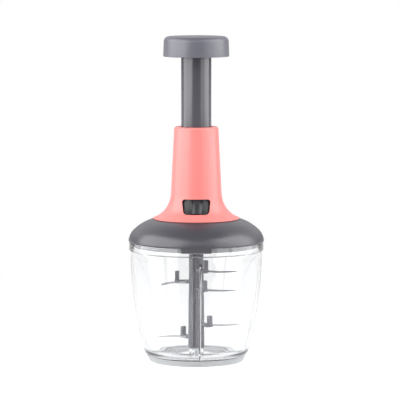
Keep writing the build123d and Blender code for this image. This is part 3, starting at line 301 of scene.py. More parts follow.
# %% Neck housing
NECK_SEAT, NECK_EDGE_R, NECK_EDGE = 140.6, 42.05, 142.95
NECK_LOW_R, NECK_FLARE, NECK_TOP_R, NECK_SIDE_TOP, NECK_TOP = 25.3, 166.2, 22.0, 231.1, 233.5
NECK_WALL, NECK_LIP, NECK_BORE_R = 2.2, 2.4, 15.5
NECK_EAVE_R, NECK_EAVE_UNDER, NECK_EAVE_EDGE, NECK_PLINTH = 42.95, 142.15, 142.6, 2.5
slope = math.atan2(NECK_LOW_R - NECK_TOP_R, NECK_SIDE_TOP - NECK_FLARE)
flare_run, flare_climb = NECK_EDGE_R - NECK_LOW_R, NECK_EDGE - NECK_FLARE
FLARE_R = (flare_run**2 + flare_climb**2) / (
    2 * (flare_run * math.cos(slope) + flare_climb * math.sin(slope))
)
FLARE_AT = (NECK_LOW_R + FLARE_R * math.cos(slope), NECK_FLARE + FLARE_R * math.sin(slope))


def neck_r(height, inset=0.0):
    """Radius of the flare at a height, moved inwards by inset."""
    return FLARE_AT[0] - math.sqrt((FLARE_R + inset) ** 2 - (height - FLARE_AT[1]) ** 2)


def flare(from_z, to_z, inset=0.0, count=24):
    """Points of the flare from one height to another."""
    heights = [from_z + (to_z - from_z) * i / count for i in range(count + 1)]
    return [(neck_r(z, inset), z) for z in heights]


neck_outline = [(NECK_EDGE_R, NECK_SEAT), (NECK_EDGE_R, NECK_EAVE_UNDER)]
neck_outline += [(NECK_EAVE_R, NECK_EAVE_UNDER + 0.1), *flare(NECK_EAVE_EDGE, NECK_FLARE)]
neck_outline += [(NECK_TOP_R, NECK_SIDE_TOP)]
neck_outline += quarter((NECK_TOP_R, NECK_SIDE_TOP), (NECK_TOP_R - NECK_LIP, NECK_TOP))
neck_outline += [(NECK_BORE_R, NECK_TOP), (NECK_BORE_R, NECK_SIDE_TOP)]
neck_outline += [(NECK_TOP_R - NECK_WALL, NECK_SIDE_TOP)]
neck_outline += flare(NECK_FLARE, NECK_SEAT + NECK_PLINTH, NECK_WALL)
neck_outline += [(neck_r(NECK_SEAT + NECK_PLINTH, NECK_WALL), NECK_SEAT)]
neck_bm = turned(neck_outline)

WINDOW_BOTTOM, WINDOW_TOP, WINDOW_CORNER = 148.5, 163.2, 3.4
WINDOW_HALF_LOW, WINDOW_HALF_HIGH, CUT_DEPTH = 12.7, 14.3, 60
facing_front = Matrix.Rotation(math.radians(90), 4, "X")
window = plate(
    [(-WINDOW_HALF_LOW, WINDOW_BOTTOM), (WINDOW_HALF_LOW, WINDOW_BOTTOM),
     (WINDOW_HALF_HIGH, WINDOW_TOP), (-WINDOW_HALF_HIGH, WINDOW_TOP)],
    CUT_DEPTH, facing_front, corner=WINDOW_CORNER,
)
neck_bm = joined(neck_bm, window, "DIFFERENCE")
finish_piece("neck", neck_bm, "lid", "coral_plastic", "neck_housing")
print("flare radius", round(FLARE_R, 2), "mm")

# %% [markdown]
# ## The lock slider
#
# Behind the window a plate follows the curve of the flare. Its button stands a little
# proud of the neck, and a leaning scoop for the thumb leaves two upright ridges on it. The
# plate and the button are cut out of turned bands, so both keep the neck's curve. A shoe
# behind them has the slot for the lock ring's tab.

# %% Lock slider
SLIDER_INSET, SLIDER_IN, SLIDER_LAP, BUTTON_PROUD, BUTTON_IN = 2.5, 4.5, 2.2, 1.1, 3.5
SLIDER_FROM, SLIDER_TO = -126, -43
BUTTON_MARGIN, BUTTON_LEFT, BUTTON_RIGHT_LOW, BUTTON_RIGHT_HIGH = 1.3, -4.6, 4.8, 8.2
BUTTON_LOW, BUTTON_HIGH = WINDOW_BOTTOM + BUTTON_MARGIN, WINDOW_TOP - BUTTON_MARGIN
SCOOP_R, SCOOP_HALF, SCOOP_X, SCOOP_LIFT, SCOOP_LEAN = 7.0, 30, 0.95, 5.5, math.radians(36)
TAB_LOW, TAB_HIGH, TAB_WIDE, TAB_REACH_AT = 150.65, 153.15, 7.1, 153.1
SHOE_R, SHOE_LOW, SHOE_HIGH = 22.2, 148.1, 155.7
SHOE_SIZE, SHOE_AT = (30, 11, 7.6), (30, 0, 151.9)


def band(outer, inner, low, high):
    """The stretch of the flare between two insets and two heights."""
    return turned([*flare(low, high, outer), *flare(high, low, inner)], soft=0)


def slice_of(from_deg, to_deg, low, high):
    """A wedge about the axis, to keep one part of a turned shape."""
    spokes = [(90, from_deg), (110, (from_deg + to_deg) / 2), (90, to_deg)]
    ends = [(r * math.cos(math.radians(a)), r * math.sin(math.radians(a))) for r, a in spokes]
    return plate([(0, 0), *ends], high - low, place(0, (0, 0, low)))


low, high = WINDOW_BOTTOM - SLIDER_LAP, WINDOW_TOP + SLIDER_LAP
wedge = slice_of(SLIDER_FROM, SLIDER_TO, low - 1, high + 1)
slider_bm = joined(band(SLIDER_INSET, SLIDER_IN, low, high), wedge, "INTERSECT")
column = plate(
    [(BUTTON_LEFT, BUTTON_LOW), (BUTTON_RIGHT_LOW, BUTTON_LOW),
     (BUTTON_RIGHT_HIGH, BUTTON_HIGH), (BUTTON_LEFT, BUTTON_HIGH)],
    CUT_DEPTH, facing_front, corner=0.7,
)
button = joined(band(-BUTTON_PROUD, BUTTON_IN, BUTTON_LOW, BUTTON_HIGH), column, "INTERSECT")
middle = (BUTTON_LOW + BUTTON_HIGH) / 2
scoop = turned([
    (0, -SCOOP_HALF), (SCOOP_R, -SCOOP_HALF), (SCOOP_R, SCOOP_HALF), (0, SCOOP_HALF),
], steps=96, soft=0)
scoop_at = (
    SCOOP_X,
    -neck_r(middle) - SCOOP_LIFT * math.cos(SCOOP_LEAN),
    middle + SCOOP_LIFT * math.sin(SCOOP_LEAN),
)
leaning = place(0, scoop_at) @ Matrix.Rotation(-SCOOP_LEAN, 4, "X")
bmesh.ops.transform(scoop, matrix=leaning, verts=scoop.verts)
slider_bm = joined(slider_bm, joined(button, scoop, "DIFFERENCE"))
shoe = turned([
    (SHOE_R, SHOE_LOW), *flare(SHOE_LOW, SHOE_HIGH, BUTTON_IN), (SHOE_R, SHOE_HIGH),
], soft=0)
shoe = joined(shoe, block(SHOE_SIZE, SHOE_AT, -90), "INTERSECT")
slider_bm = joined(slider_bm, shoe)
slot_size = (neck_r(TAB_REACH_AT, SLIDER_IN), TAB_WIDE, TAB_HIGH - TAB_LOW)
slot = block(slot_size, (slot_size[0] / 2, 0, (TAB_LOW + TAB_HIGH) / 2), -90)
slider_bm = joined(slider_bm, slot, "DIFFERENCE")
finish_piece("slider", eased(slider_bm, 0.3), "lock", "dark_plastic", "lock_slider")

# %% [markdown]
# ## The lid's dome
#
# The dome swells out over the bowl and turns under to a plug skirt that drops inside the
# rim. A lug at the front and one at the back sit in notches of the rim, so the lid can't
# turn while the blades do. The lugs are the part of a short ring that lies inside a block.

# %% Dome, skirt and lugs
DOME_EDGE_R, DOME_EDGE, DOME_R, DOME_WIDEST = 42.2, 141.9, 67.5, 120.4
DOME_SHOULDER_R, DOME_SHOULDER, DOME_RIM_R, RIM = 63.0, 130.0, 67.0, 119.2
SKIRT_R, SKIRT_IN_R, SKIRT_BOTTOM, DOME_PLATE, DOME_OPEN_R = 62.9, 60.5, 114.4, 138.1, 28.6
SEAL_BOTTOM, SEAL_TOP, SEAL_GROOVE = 114.9, 118.6, 1.1
LUG_R, LUG_IN_R, LUG_WIDTH, LUG_BOTTOM = 66.6, 63.7, 29.4, 114.5
LUG_DEPTH, LUG_AT = 20, (64, 0, 118)
INNER_LOW, INNER_HIGH = (SKIRT_IN_R, 128.4), (47.2, DOME_PLATE)
SWELL, SHOULDER_BOW, RIM_BOW, INNER_BOW = -1.65, -0.8, -0.15, 0.5

edge, shoulder = (DOME_EDGE_R, DOME_EDGE), (DOME_SHOULDER_R, DOME_SHOULDER)
widest, rim = (DOME_R, DOME_WIDEST), (DOME_RIM_R, RIM)
dome_bm = turned([
    (DOME_OPEN_R, NECK_SEAT), (DOME_EDGE_R, NECK_SEAT), edge,
    *bow(edge, shoulder, SWELL, 20), *bow(shoulder, widest, SHOULDER_BOW),
    *bow(widest, rim, RIM_BOW, 4),
    (SKIRT_R, RIM), (SKIRT_R, SEAL_TOP), (SKIRT_R - SEAL_GROOVE, SEAL_TOP),
    (SKIRT_R - SEAL_GROOVE, SEAL_BOTTOM), (SKIRT_R, SEAL_BOTTOM), (SKIRT_R, SKIRT_BOTTOM),
    (SKIRT_IN_R, SKIRT_BOTTOM), INNER_LOW, *bow(INNER_LOW, INNER_HIGH, INNER_BOW),
    (DOME_OPEN_R, DOME_PLATE),
], steps=180, soft=0.45)
for turn in (-90, 90):
    belt = turned([
        (LUG_IN_R, LUG_BOTTOM), (LUG_R, LUG_BOTTOM), (LUG_R, RIM + 1), (LUG_IN_R, RIM + 1),
    ], steps=180)
    lug_box = block((LUG_DEPTH, LUG_WIDTH, LUG_DEPTH), LUG_AT, turn, 0.4)
    dome_bm = joined(dome_bm, joined(belt, lug_box, "INTERSECT"))
finish_piece("dome", dome_bm, "lid", "slate_plastic", "lid_dome")

# %% [markdown]
# ## The seal
#
# A soft band wraps the skirt and presses on the inside of the rim. It shows through the
# clear rim as a pale belt, and its face is rounded so that it catches one long glint.

# %% Seal
SEAL_EDGE_R, SEAL_R = 63.1, 63.4
seal_bm = turned([
    (SKIRT_R - SEAL_GROOVE, SEAL_BOTTOM), (SEAL_EDGE_R, SEAL_BOTTOM), (SEAL_R, SEAL_BOTTOM + 1),
    (SEAL_R, SEAL_TOP - 1), (SEAL_EDGE_R, SEAL_TOP), (SKIRT_R - SEAL_GROOVE, SEAL_TOP),
], steps=180)
finish_piece("seal", seal_bm, "lid", "seal_rubber", "lid_seal")

# %% [markdown]
# ## The clear bowl
#
# The bowl is one clear moulding: a rounded foot, walls that lean out, a bead under the
# neck, four upright fins inside that stop the food from going round, and a boss for the
# pivot pin. Light bends at every surface of it, so it has real walls, and the fins are
# united with the wall instead of only touching it.

# %% Bowl
BOWL_FOOT_R, BOWL_FOOT_Z, BOWL_FLOOR_R, BOWL_FLOOR = 47.2, 3.5, 43.0, 7.0
BOWL_NECK_R, BOWL_NECK_IN_R, FOOT_BOW, FLOOR_BOW = 66.8, 63.7, 0.9, -2.0
BOWL_LOW, BOWL_MID, BOWL_TOP = (53.2, 13.5), (62.3, 62.0), (65.5, 110.4)
BOWL_IN_LOW, BOWL_IN_MID, BOWL_IN_TOP = (50.8, 15.5), (59.9, 62.0), (63.7, 110.4)
BEAD_R, BEAD_LOW, BEAD_HIGH, BEAD_TOP = 67.0, 111.2, 112.2, 113.0
PIN_R, PIN_HOLE_Z, BOSS_FOOT_R, BOSS_R, BOSS_TOP = 2.5, 4.8, 7.35, 6.2, 11.6
TONGUE_IN_R, TONGUE_R, TONGUE_TOP = 42.6, 44.4, 4.7
FIN_DEGS, FIN_THICK = (-86, 4, 94, 184), 1.8
FIN_FOOT, FIN_MID, FIN_HEAD = (52.0, 13.5), (61.1, 62.0), (64.4, 104.0)
FIN_EDGE = [(60.5, 103.2), (55.4, 98.7), (46.5, 81.5), (44.7, 74.0), (44.7, 5.6)]
NOTCH_AT, NOTCH_DEPTH, NOTCH_PLAY = 66, 12, 0.3

foot, floor_edge = (BOWL_FOOT_R, BOWL_FOOT_Z), (BOWL_FLOOR_R, BOWL_FLOOR)
bowl_bm = turned([
    (0, BOWL_FOOT_Z), (TONGUE_IN_R, BOWL_FOOT_Z), (TONGUE_IN_R, TONGUE_TOP),
    (TONGUE_R, TONGUE_TOP), (TONGUE_R, BOWL_FOOT_Z), foot, *bow(foot, BOWL_LOW, FOOT_BOW),
    *arc(BOWL_LOW, BOWL_MID, BOWL_TOP, 24), (BEAD_R, BEAD_LOW), (BEAD_R, BEAD_HIGH),
    (BOWL_NECK_R, BEAD_TOP), (BOWL_NECK_R, RIM), (BOWL_NECK_IN_R, RIM), BOWL_IN_TOP,
    *arc(BOWL_IN_TOP, BOWL_IN_MID, BOWL_IN_LOW, 24), *bow(BOWL_IN_LOW, floor_edge, FLOOR_BOW),
    (BOSS_FOOT_R, BOWL_FLOOR), (BOSS_R, BOSS_TOP), (PIN_R, BOSS_TOP), (PIN_R, PIN_HOLE_Z),
    (0, PIN_HOLE_Z),
], steps=192, soft=0.4)

fin_outline = [FIN_FOOT, *arc(FIN_FOOT, FIN_MID, FIN_HEAD, 24), *FIN_EDGE]
for turn in FIN_DEGS:
    upright = place(turn) @ facing_front @ Matrix.Translation((0, 0, -FIN_THICK / 2 * MM))
    bowl_bm = joined(bowl_bm, plate(fin_outline, FIN_THICK, upright, edge=0.35))
notch_size = (NOTCH_DEPTH, LUG_WIDTH + 2 * NOTCH_PLAY, NOTCH_DEPTH)
for turn in (-90, 90):
    notch_at = (NOTCH_AT, 0, LUG_BOTTOM - NOTCH_PLAY + NOTCH_DEPTH / 2)
    bowl_bm = joined(bowl_bm, block(notch_size, notch_at, turn, 0.5), "DIFFERENCE")
finish_piece("clear_bowl", bowl_bm, "bowl", "clear_bowl", "bowl")

# %% [markdown]
# ## The ring it stands on
#
# A soft ring is pressed into a groove under the bowl so that the chopper doesn't slide. It
# is turned like the rest, with a round lower edge, a rib on top that fills the groove, and
# a thin outer lip that wraps the bowl's foot.

# %% Grip ring
RING_REST_IN_R, RING_REST_R, RING_IN_R, RING_IN_Z, RING_TOP = 40.2, 45.4, 39.0, 1.2, 3.45
RING_ROUND, RING_SIDE = (46.8, 1.4), (48.3, 3.6)
RING_LIP = [(49.7, 5.6), (49.1, 5.8), (48.3, 4.5), (47.45, RING_TOP)]
RIB_R, RIB_IN_R, RIB_TOP = 44.35, 42.65, 4.65
grip_bm = turned([
    (RING_REST_IN_R, 0), (RING_REST_R, 0), *quarter((RING_REST_R, 0), RING_ROUND, 5),
    RING_SIDE, *RING_LIP, (RIB_R, RING_TOP), (RIB_R, RIB_TOP), (RIB_IN_R, RIB_TOP),
    (RIB_IN_R, RING_TOP), (RING_IN_R, RING_TOP), (RING_IN_R, RING_IN_Z),
], soft=0.2)
finish_piece("grip_ring", grip_bm, "bowl", "soft_ring", "base_grip_ring")

# %% [markdown]
# ## The blade shaft
#
# The stack is moulded in two halves that plug together. Each blade is held in a flat arm
# with a round end and an upright peg. The arms are united with the tapered shaft, and a
# narrow upright groove is cut into it, as mouldings have to keep their walls even.

# %% Blade shafts with arms and pegs
ARM_FROM, ARM_TO, ARM_W, ARM_THICK = 5.0, 17.8, 8.0, 3.0
PEG_AT, PEG_DEPTH, PEG_WIDE, PEG_SUNK = 19.2, 4.0, 4.6, 0.5
ARMS_UPPER = [(90.5, -62.0, 10.5), (78.3, 174.0, 9.0), (72.0, -65.0, 8.2)]
ARMS_LOWER = [(36.5, -46.0, 8.2), (22.0, 133.0, 8.2)]
GROOVE_WIDE, GROOVE_FLOOR, GROOVE_AT = 2.8, 5.1, -102
GROOVE_LOWER, GROOVE_UPPER = (8.0, 14.0, 62.0), (7.4, 64.0, 107.0)
SHAFT_FOOT, SHAFT_SEAM, SHAFT_TOP = 12.52, 63.0, 110.4
PLUG_R, PLUG_TOP, SOCKET_TOP = 4.6, 69.0, 69.3
LOWER_FOOT_R, LOWER_TOP_R, UPPER_FOOT_R, UPPER_TOP_R = 8.2, 7.8, 7.6, 7.2
BUSH_R, BUSH_TOP, BORE_R, BORE_TOP = 4.28, 24.0, 3.3, 26.8
HEX_FLATS, HEX_BOTTOM, HEX_TOP = 10.0, 108.8, 118.7


def with_arms(shaft, arms):
    """Unite a shaft with its blade holders: height, direction and height of the peg."""
    for height, turn, peg in arms:
        stub = [(ARM_FROM, -ARM_W / 2), (ARM_TO, -ARM_W / 2)]
        stub += arc((ARM_TO, -ARM_W / 2), (ARM_TO + ARM_W / 2, 0), (ARM_TO, ARM_W / 2))
        stub += [(ARM_FROM, ARM_W / 2)]
        arm = plate(stub, ARM_THICK, place(turn, (0, 0, height - ARM_THICK / 2)), edge=0.3)
        peg_at = (PEG_AT, 0, height + ARM_THICK / 2 + peg / 2 - PEG_SUNK)
        arm = joined(arm, block((PEG_DEPTH, PEG_WIDE, peg + 1), peg_at, turn, 0.35))
        shaft = joined(shaft, arm)
    return shaft


def grooved(shaft, radius, low, high):
    """Cut the upright coring groove that keeps a shaft's wall even."""
    reach = 2 * (radius - GROOVE_FLOOR)
    slot = block((reach, GROOVE_WIDE, high - low), (radius, 0, (low + high) / 2), GROOVE_AT)
    return joined(shaft, slot, "DIFFERENCE")


lower_bm = turned([
    (BUSH_R, SHAFT_FOOT), (LOWER_FOOT_R, SHAFT_FOOT), (LOWER_TOP_R, SHAFT_SEAM),
    (PLUG_R, SHAFT_SEAM), (PLUG_R, PLUG_TOP), (0, PLUG_TOP), (0, BORE_TOP),
    (BORE_R, BORE_TOP), (BORE_R, BUSH_TOP), (BUSH_R, BUSH_TOP),
], steps=72, soft=0.3)
lower_bm = grooved(with_arms(lower_bm, ARMS_LOWER), *GROOVE_LOWER)
finish_piece("shaft_low", lower_bm, "blade_unit", "dark_plastic", "blade_shaft_lower")

upper_bm = turned([
    (PLUG_R, SHAFT_SEAM), (UPPER_FOOT_R, SHAFT_SEAM), (UPPER_TOP_R, SHAFT_TOP),
    (0, SHAFT_TOP), (0, SOCKET_TOP), (PLUG_R, SOCKET_TOP),
], steps=72, soft=0.3)
hex_r, turns = HEX_FLATS / math.sqrt(3), [math.radians(60 * i) for i in range(6)]
hexagon = [(hex_r * math.cos(turn), hex_r * math.sin(turn)) for turn in turns]
drive_end = plate(hexagon, HEX_TOP - HEX_BOTTOM, place(0, (0, 0, HEX_BOTTOM)), edge=0.4)
upper_bm = joined(grooved(with_arms(upper_bm, ARMS_UPPER), *GROOVE_UPPER), drive_end)
finish_piece("shaft_high", upper_bm, "blade_unit", "dark_plastic", "blade_shaft_upper")

# %% [markdown]
# ## The springs
#
# The return spring and the clutch spring stand between parts that move towards each other,
# so each coil has to shorten. A merged copy of the engineering coil stands in for each
# spring, but it keeps its full length and does not shorten.


def shortening_coil(name, cad_node, body):
    """A merged copy of a spring, at its full length, that rides on a body in place of the
    engineering coil.
    """
    bm = bmesh.new()
    bm.from_mesh(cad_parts[cad_node].data)
    bmesh.ops.remove_doubles(bm, verts=bm.verts[:], dist=WELD)
    coil = finish_piece(name, bm, body, "spring_steel", cad_node)
    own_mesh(coil)


shortening_coil(
    "return_coil", "return_spring", "lid",
)
shortening_coil(
    "clutch_coil", "clutch_spring", "spiral",
)

# %% [markdown]
# ## Shader groups
#
# Moulded plastic is never perfectly even. A picture could be wrapped around each part, but
# noise that fills the space needs no unwrapping and is sharp at any distance. The first
# group gives the fine grain of the mould, the slow drift of its sheen and a faint drift of
# tone. Each group is built once and placed in the materials with its own values.

# %% Node helpers
def group(name, inputs, outputs):
    """A new shader group with named sockets: (name, type, default) for each input."""
    tree = bpy.data.node_groups.new(name, "ShaderNodeTree")
    for label, kind, value in inputs:
        socket = tree.interface.new_socket(name=label, in_out="INPUT", socket_type=kind)
        if value is not None:
            socket.default_value = value
    for label in outputs:
        tree.interface.new_socket(name=label, in_out="OUTPUT", socket_type="NodeSocketFloat")
    return tree, tree.nodes.new("NodeGroupInput"), tree.nodes.new("NodeGroupOutput")


def node(tree, kind, settings=None, **sockets):
    """A new node: its settings, then values or links for sockets by name or as i0, i1..."""
    made = tree.nodes.new(kind)
    for key, value in (settings or {}).items():
        setattr(made, key, value)
    for key, value in sockets.items():
        socket = made.inputs[int(key[1:]) if key[1:].isdigit() else key.replace("_", " ")]
        if isinstance(value, bpy.types.NodeSocket):
            tree.links.new(value, socket)
        else:
            socket.default_value = value
    return made


def math_node(tree, operation, a, b=0.0, clamp=False):
    """A Math node's output."""
    settings = {"operation": operation, "use_clamp": clamp}
    return node(tree, "ShaderNodeMath", settings, i0=a, i1=b).outputs[0]


def remap(tree, value, low, high, to_low=0.0, to_high=1.0):
    """A clamped Map Range from one span to another."""
    made = node(
        tree, "ShaderNodeMapRange", {"clamp": True},
        i0=value, i1=low, i2=high, i3=to_low, i4=to_high,
    )
    return made.outputs[0]


def noise(tree, where, scale, detail):
    """The value of a Noise texture."""
    made = node(tree, "ShaderNodeTexNoise", None, Vector=where, Scale=scale, Detail=detail)
    return made.outputs[0]


FLOAT, VECTOR = "NodeSocketFloat", "NodeSocketVector"
print("sockets of groups are", FLOAT, "and", VECTOR)

# %% Group: the skin of a moulding
DRIFT_SCALE, DRIFT_FROM, DRIFT_TO = 38.0, 0.35, 0.65
TONE_SCALE, TONE_FROM, TONE_TO = 11.0, 0.3, 0.7
moulded, g_in, g_out = group(
    "moulded_skin",
    [("Vector", VECTOR, None), ("Grain", FLOAT, 900.0), ("Smooth", FLOAT, 0.3),
     ("Dull", FLOAT, 0.4)],
    ["Height", "Roughness", "Tone"],
)
where, grain_scale, smooth, dull = g_in.outputs[:4]
grain = noise(moulded, where, grain_scale, 2.0)
drift = noise(moulded, where, DRIFT_SCALE, 3.0)
tone = noise(moulded, where, TONE_SCALE, 2.0)
even = remap(moulded, drift, DRIFT_FROM, DRIFT_TO)
span = math_node(moulded, "SUBTRACT", dull, smooth)
rough = math_node(moulded, "ADD", smooth, math_node(moulded, "MULTIPLY", span, even))
moulded.links.new(grain, g_out.inputs[0])
moulded.links.new(rough, g_out.inputs[1])
moulded.links.new(remap(moulded, tone, TONE_FROM, TONE_TO), g_out.inputs[2])
print("group", moulded.name, "puts out", [s.name for s in g_out.inputs if s.name])

# %% [markdown]
# ## Rubbed edges
#
# Hands rub the edges of a moulding first, and they turn a little paler. A painted mask
# would have to be redone whenever a shape changes. The Bevel node gives the normal of a
# rounded edge instead, and where it leaves the true normal there is an edge.

# %% Group: rubbed edges
FLAT_DOT, EDGE_DOT = 0.99, 0.85
rubbed, g_in, g_out = group("rubbed_edges", [("Width", FLOAT, 0.0006)], ["Mask"])
bevelled = node(rubbed, "ShaderNodeBevel", {"samples": 4}, Radius=g_in.outputs[0])
flat = node(rubbed, "ShaderNodeNewGeometry")
turned_by = node(
    rubbed, "ShaderNodeVectorMath", {"operation": "DOT_PRODUCT"},
    i0=bevelled.outputs[0], i1=flat.outputs["Normal"],
)
worn = remap(rubbed, turned_by.outputs["Value"], FLAT_DOT, EDGE_DOT)
rubbed.links.new(worn, g_out.inputs[0])
print("group", rubbed.name, "looks", bevelled.samples, "times around each point")

# %% [markdown]
# ## Hair-thin scratches
#
# Use leaves scratches that only show in a highlight. A noise that is stretched along one
# direction makes long streaks, and the thin zone around its middle value is a hair. Two
# directions are laid over each other, and a third noise keeps them in patches.

# %% Group: hair-thin scratches
DIRECTIONS, LEAN = ((0.6, (1.0, 45.0, 40.0)), (2.1, (42.0, 1.0, 38.0))), 0.4
HAIR, PATCH_FROM, PATCH_TO = 0.006, 0.52, 0.62
scratched, g_in, g_out = group(
    "hair_scratches", [("Vector", VECTOR, None), ("Scale", FLOAT, 30.0)], ["Mask"],
)
where, scale = g_in.outputs[:2]
lines = None
for angle, stretch in DIRECTIONS:
    turned_to = (angle, LEAN * angle, angle)
    along = node(
        scratched, "ShaderNodeMapping", None, Vector=where, Rotation=turned_to, Scale=stretch,
    )
    streaks = noise(scratched, along.outputs[0], scale, 1.0)
    centred = math_node(scratched, "SUBTRACT", streaks, 0.5)
    thin = remap(scratched, math_node(scratched, "ABSOLUTE", centred), HAIR, 0.0)
    lines = thin if lines is None else math_node(scratched, "MAXIMUM", lines, thin)
patches = remap(scratched, noise(scratched, where, scale, 2.0), PATCH_FROM, PATCH_TO)
scratched.links.new(math_node(scratched, "MULTIPLY", lines, patches), g_out.inputs[0])
print("group", scratched.name, "has", len(scratched.nodes), "nodes")

# %% [markdown]
# ## Brushed lines
#
# Brushing leaves fine parallel lines in sheet steel. One noise, stretched along X, drives
# the tone, the roughness and a faint bump together, so that the three agree.

# %% Group: brushed steel
STRETCH_ALONG_X = (0.03, 1.0, 1.0)
brushed, g_in, g_out = group(
    "brushed_lines", [("Vector", VECTOR, None), ("Fineness", FLOAT, 900.0)], ["Height", "Tone"],
)
where, fineness = g_in.outputs[:2]
long_way = node(brushed, "ShaderNodeMapping", None, Vector=where, Scale=STRETCH_ALONG_X)
hairs = noise(brushed, long_way.outputs[0], fineness, 3.0)
brushed.links.new(hairs, g_out.inputs[0])
brushed.links.new(remap(brushed, hairs, TONE_FROM, TONE_TO), g_out.inputs[1])
print("group", brushed.name, "has", len(brushed.nodes), "nodes")

# %% [markdown]
# ## Materials
#
# One recipe makes every moulded plastic: three sheens of slate for the knob, the tube and
# the dome, the coral of the neck, the graphite of the slider, the greys and the white of
# the parts inside, and the seal. The grain is so fine that it only breaks up the highlight,
# so colour, roughness and index of refraction tell them apart.

# %% Moulded plastics
materials = {}


def new_material(name):
    """A material's node tree, its Principled shader and object coordinates."""
    mat = bpy.data.materials.new(name)
    mat.use_nodes = True
    tree = mat.node_tree
    shader = tree.nodes["Principled BSDF"]
    where = tree.nodes.new("ShaderNodeTexCoord").outputs["Object"]
    materials[name] = mat
    return tree, shader, where


def use_group(tree, what, **sockets):
    """Place one of the shader groups in a material."""
    return node(tree, "ShaderNodeGroup", {"node_tree": what}, **sockets)


def mix_colour(tree, share, a, b):
    """A colour between a and b, which are colours or sockets."""
    a, b = (c if isinstance(c, bpy.types.NodeSocket) else (*c, 1) for c in (a, b))
    made = node(tree, "ShaderNodeMix", {"data_type": "RGBA"}, Factor=share, i6=a, i7=b)
    return made.outputs[2]


def roughened(tree, shader, rough, marks, amount):
    """Set the roughness, with scratches that add an amount to it."""
    extra = math_node(tree, "MULTIPLY", marks.outputs[0], amount)
    tree.links.new(math_node(tree, "ADD", rough, extra), shader.inputs["Roughness"])


def bumped(tree, shader, height, strength, deep=0.0005):
    """Let a height mask move the normal."""
    bump = node(tree, "ShaderNodeBump", None, Strength=strength, Distance=deep, Height=height)
    tree.links.new(bump.outputs[0], shader.inputs["Normal"])


GRAIN, RUBBED_WIDTH, RUBBED_SHARE, RUBBED_LIFT = 900.0, 0.0005, 0.35, 0.015
DARKEST, SCRATCH_SCALE, SCRATCH_DULLS, COAT_ROUGH = 0.94, 26.0, 0.02, 0.15


def plastic(name, colour, smooth, dull, depth=0.02, ior=1.5, coat=0.0, lift=1.25):
    """A moulded plastic: tone drifts a little, edges are rubbed paler, scratches dull it."""
    tree, shader, where = new_material(name)
    skin = use_group(tree, moulded, Vector=where, Grain=GRAIN, Smooth=smooth, Dull=dull)
    worn = use_group(tree, rubbed, Width=RUBBED_WIDTH)
    marks = use_group(tree, scratched, Vector=where, Scale=SCRATCH_SCALE)
    deep = tuple(DARKEST * c for c in colour)
    pale = tuple(min(1.0, lift * c + RUBBED_LIFT) for c in colour)
    body = mix_colour(tree, skin.outputs["Tone"], deep, colour)
    share = math_node(tree, "MULTIPLY", worn.outputs[0], RUBBED_SHARE)
    tree.links.new(mix_colour(tree, share, body, pale), shader.inputs["Base Color"])
    roughened(tree, shader, skin.outputs["Roughness"], marks, SCRATCH_DULLS)
    bumped(tree, shader, skin.outputs["Height"], depth)
    shader.inputs["IOR"].default_value = ior
    shader.inputs["Coat Weight"].default_value = coat
    shader.inputs["Coat Roughness"].default_value = COAT_ROUGH


plastic("slate", (0.046, 0.044, 0.056), 0.20, 0.26, ior=1.62)
plastic("slate_satin", (0.093, 0.093, 0.116), 0.35, 0.41, ior=1.64, depth=0.04)
plastic("slate_soft", (0.044, 0.043, 0.054), 0.30, 0.37, ior=1.62, depth=0.03)
plastic("coral", (0.75, 0.208, 0.192), 0.29, 0.36, ior=1.5, lift=1.1)
plastic("graphite", (0.016, 0.017, 0.020), 0.34, 0.42, ior=1.45, depth=0.04)
plastic("shaft_grey", (0.075, 0.074, 0.088), 0.28, 0.36, ior=1.52)
plastic("inner_grey", (0.26, 0.265, 0.29), 0.4, 0.5, depth=0.05)
plastic("white_acetal", (0.74, 0.74, 0.72), 0.34, 0.42, depth=0.03)
plastic("grey_silicone", (0.22, 0.22, 0.235), 0.26, 0.34, depth=0.01, coat=0.3)
print("plastics", sorted(materials))

# %% [markdown]
# ## Steel
#
# The blades are stamped from brushed sheet, and the fine lines catch the light. Screws,
# pin, strip and springs are turned bar and drawn wire, with finer lines and darker. One
# recipe serves them all, with a full metallic value and no coat.

# %% Steel
LINES_DARK, LINES_HEIGHT, HARD_SCRATCH_DULLS = 0.82, 0.0003, 0.1


def steel(name, colour, roughness, fineness, depth):
    """A brushed or drawn steel."""
    tree, shader, where = new_material(name)
    lines = use_group(tree, brushed, Vector=where, Fineness=fineness)
    marks = use_group(tree, scratched, Vector=where, Scale=60.0)
    tone = lines.outputs["Tone"]
    dark = tuple(LINES_DARK * c for c in colour)
    tree.links.new(mix_colour(tree, tone, dark, colour), shader.inputs["Base Color"])
    rough = remap(tree, tone, 0.0, 1.0, 0.8 * roughness, 1.2 * roughness)
    roughened(tree, shader, rough, marks, HARD_SCRATCH_DULLS)
    bumped(tree, shader, lines.outputs["Height"], depth, LINES_HEIGHT)
    shader.inputs["Metallic"].default_value = 1.0


steel("blade_steel", (0.66, 0.67, 0.69), 0.24, 1500.0, 0.12)
steel("turned_steel", (0.52, 0.53, 0.55), 0.3, 2500.0, 0.05)
steel("spring_wire", (0.42, 0.42, 0.44), 0.28, 2500.0, 0.05)
print("steels", [name for name in materials if name.endswith(("steel", "wire"))])

# %% [markdown]
# ## Clear bowl and soft ring
#
# The bowl is clear polystyrene: light bends in its wall, so it is a transmitting shader and
# not a thin transparent one. Lamps have to shine through it all the same, so for shadow
# rays it is swapped for a Transparent shader. Its surface carries the faintest scratches
# of use. The ring below is a milky soft plastic that lets a third of the light in.

# %% Clear plastic and milky ring
def see_through(tree, shader, tone, deep, pale, share, ior):
    """Tint a shader between two colours and let a share of the light through."""
    tree.links.new(mix_colour(tree, tone, deep, pale), shader.inputs["Base Color"])
    shader.inputs["Transmission Weight"].default_value = share
    shader.inputs["IOR"].default_value = ior


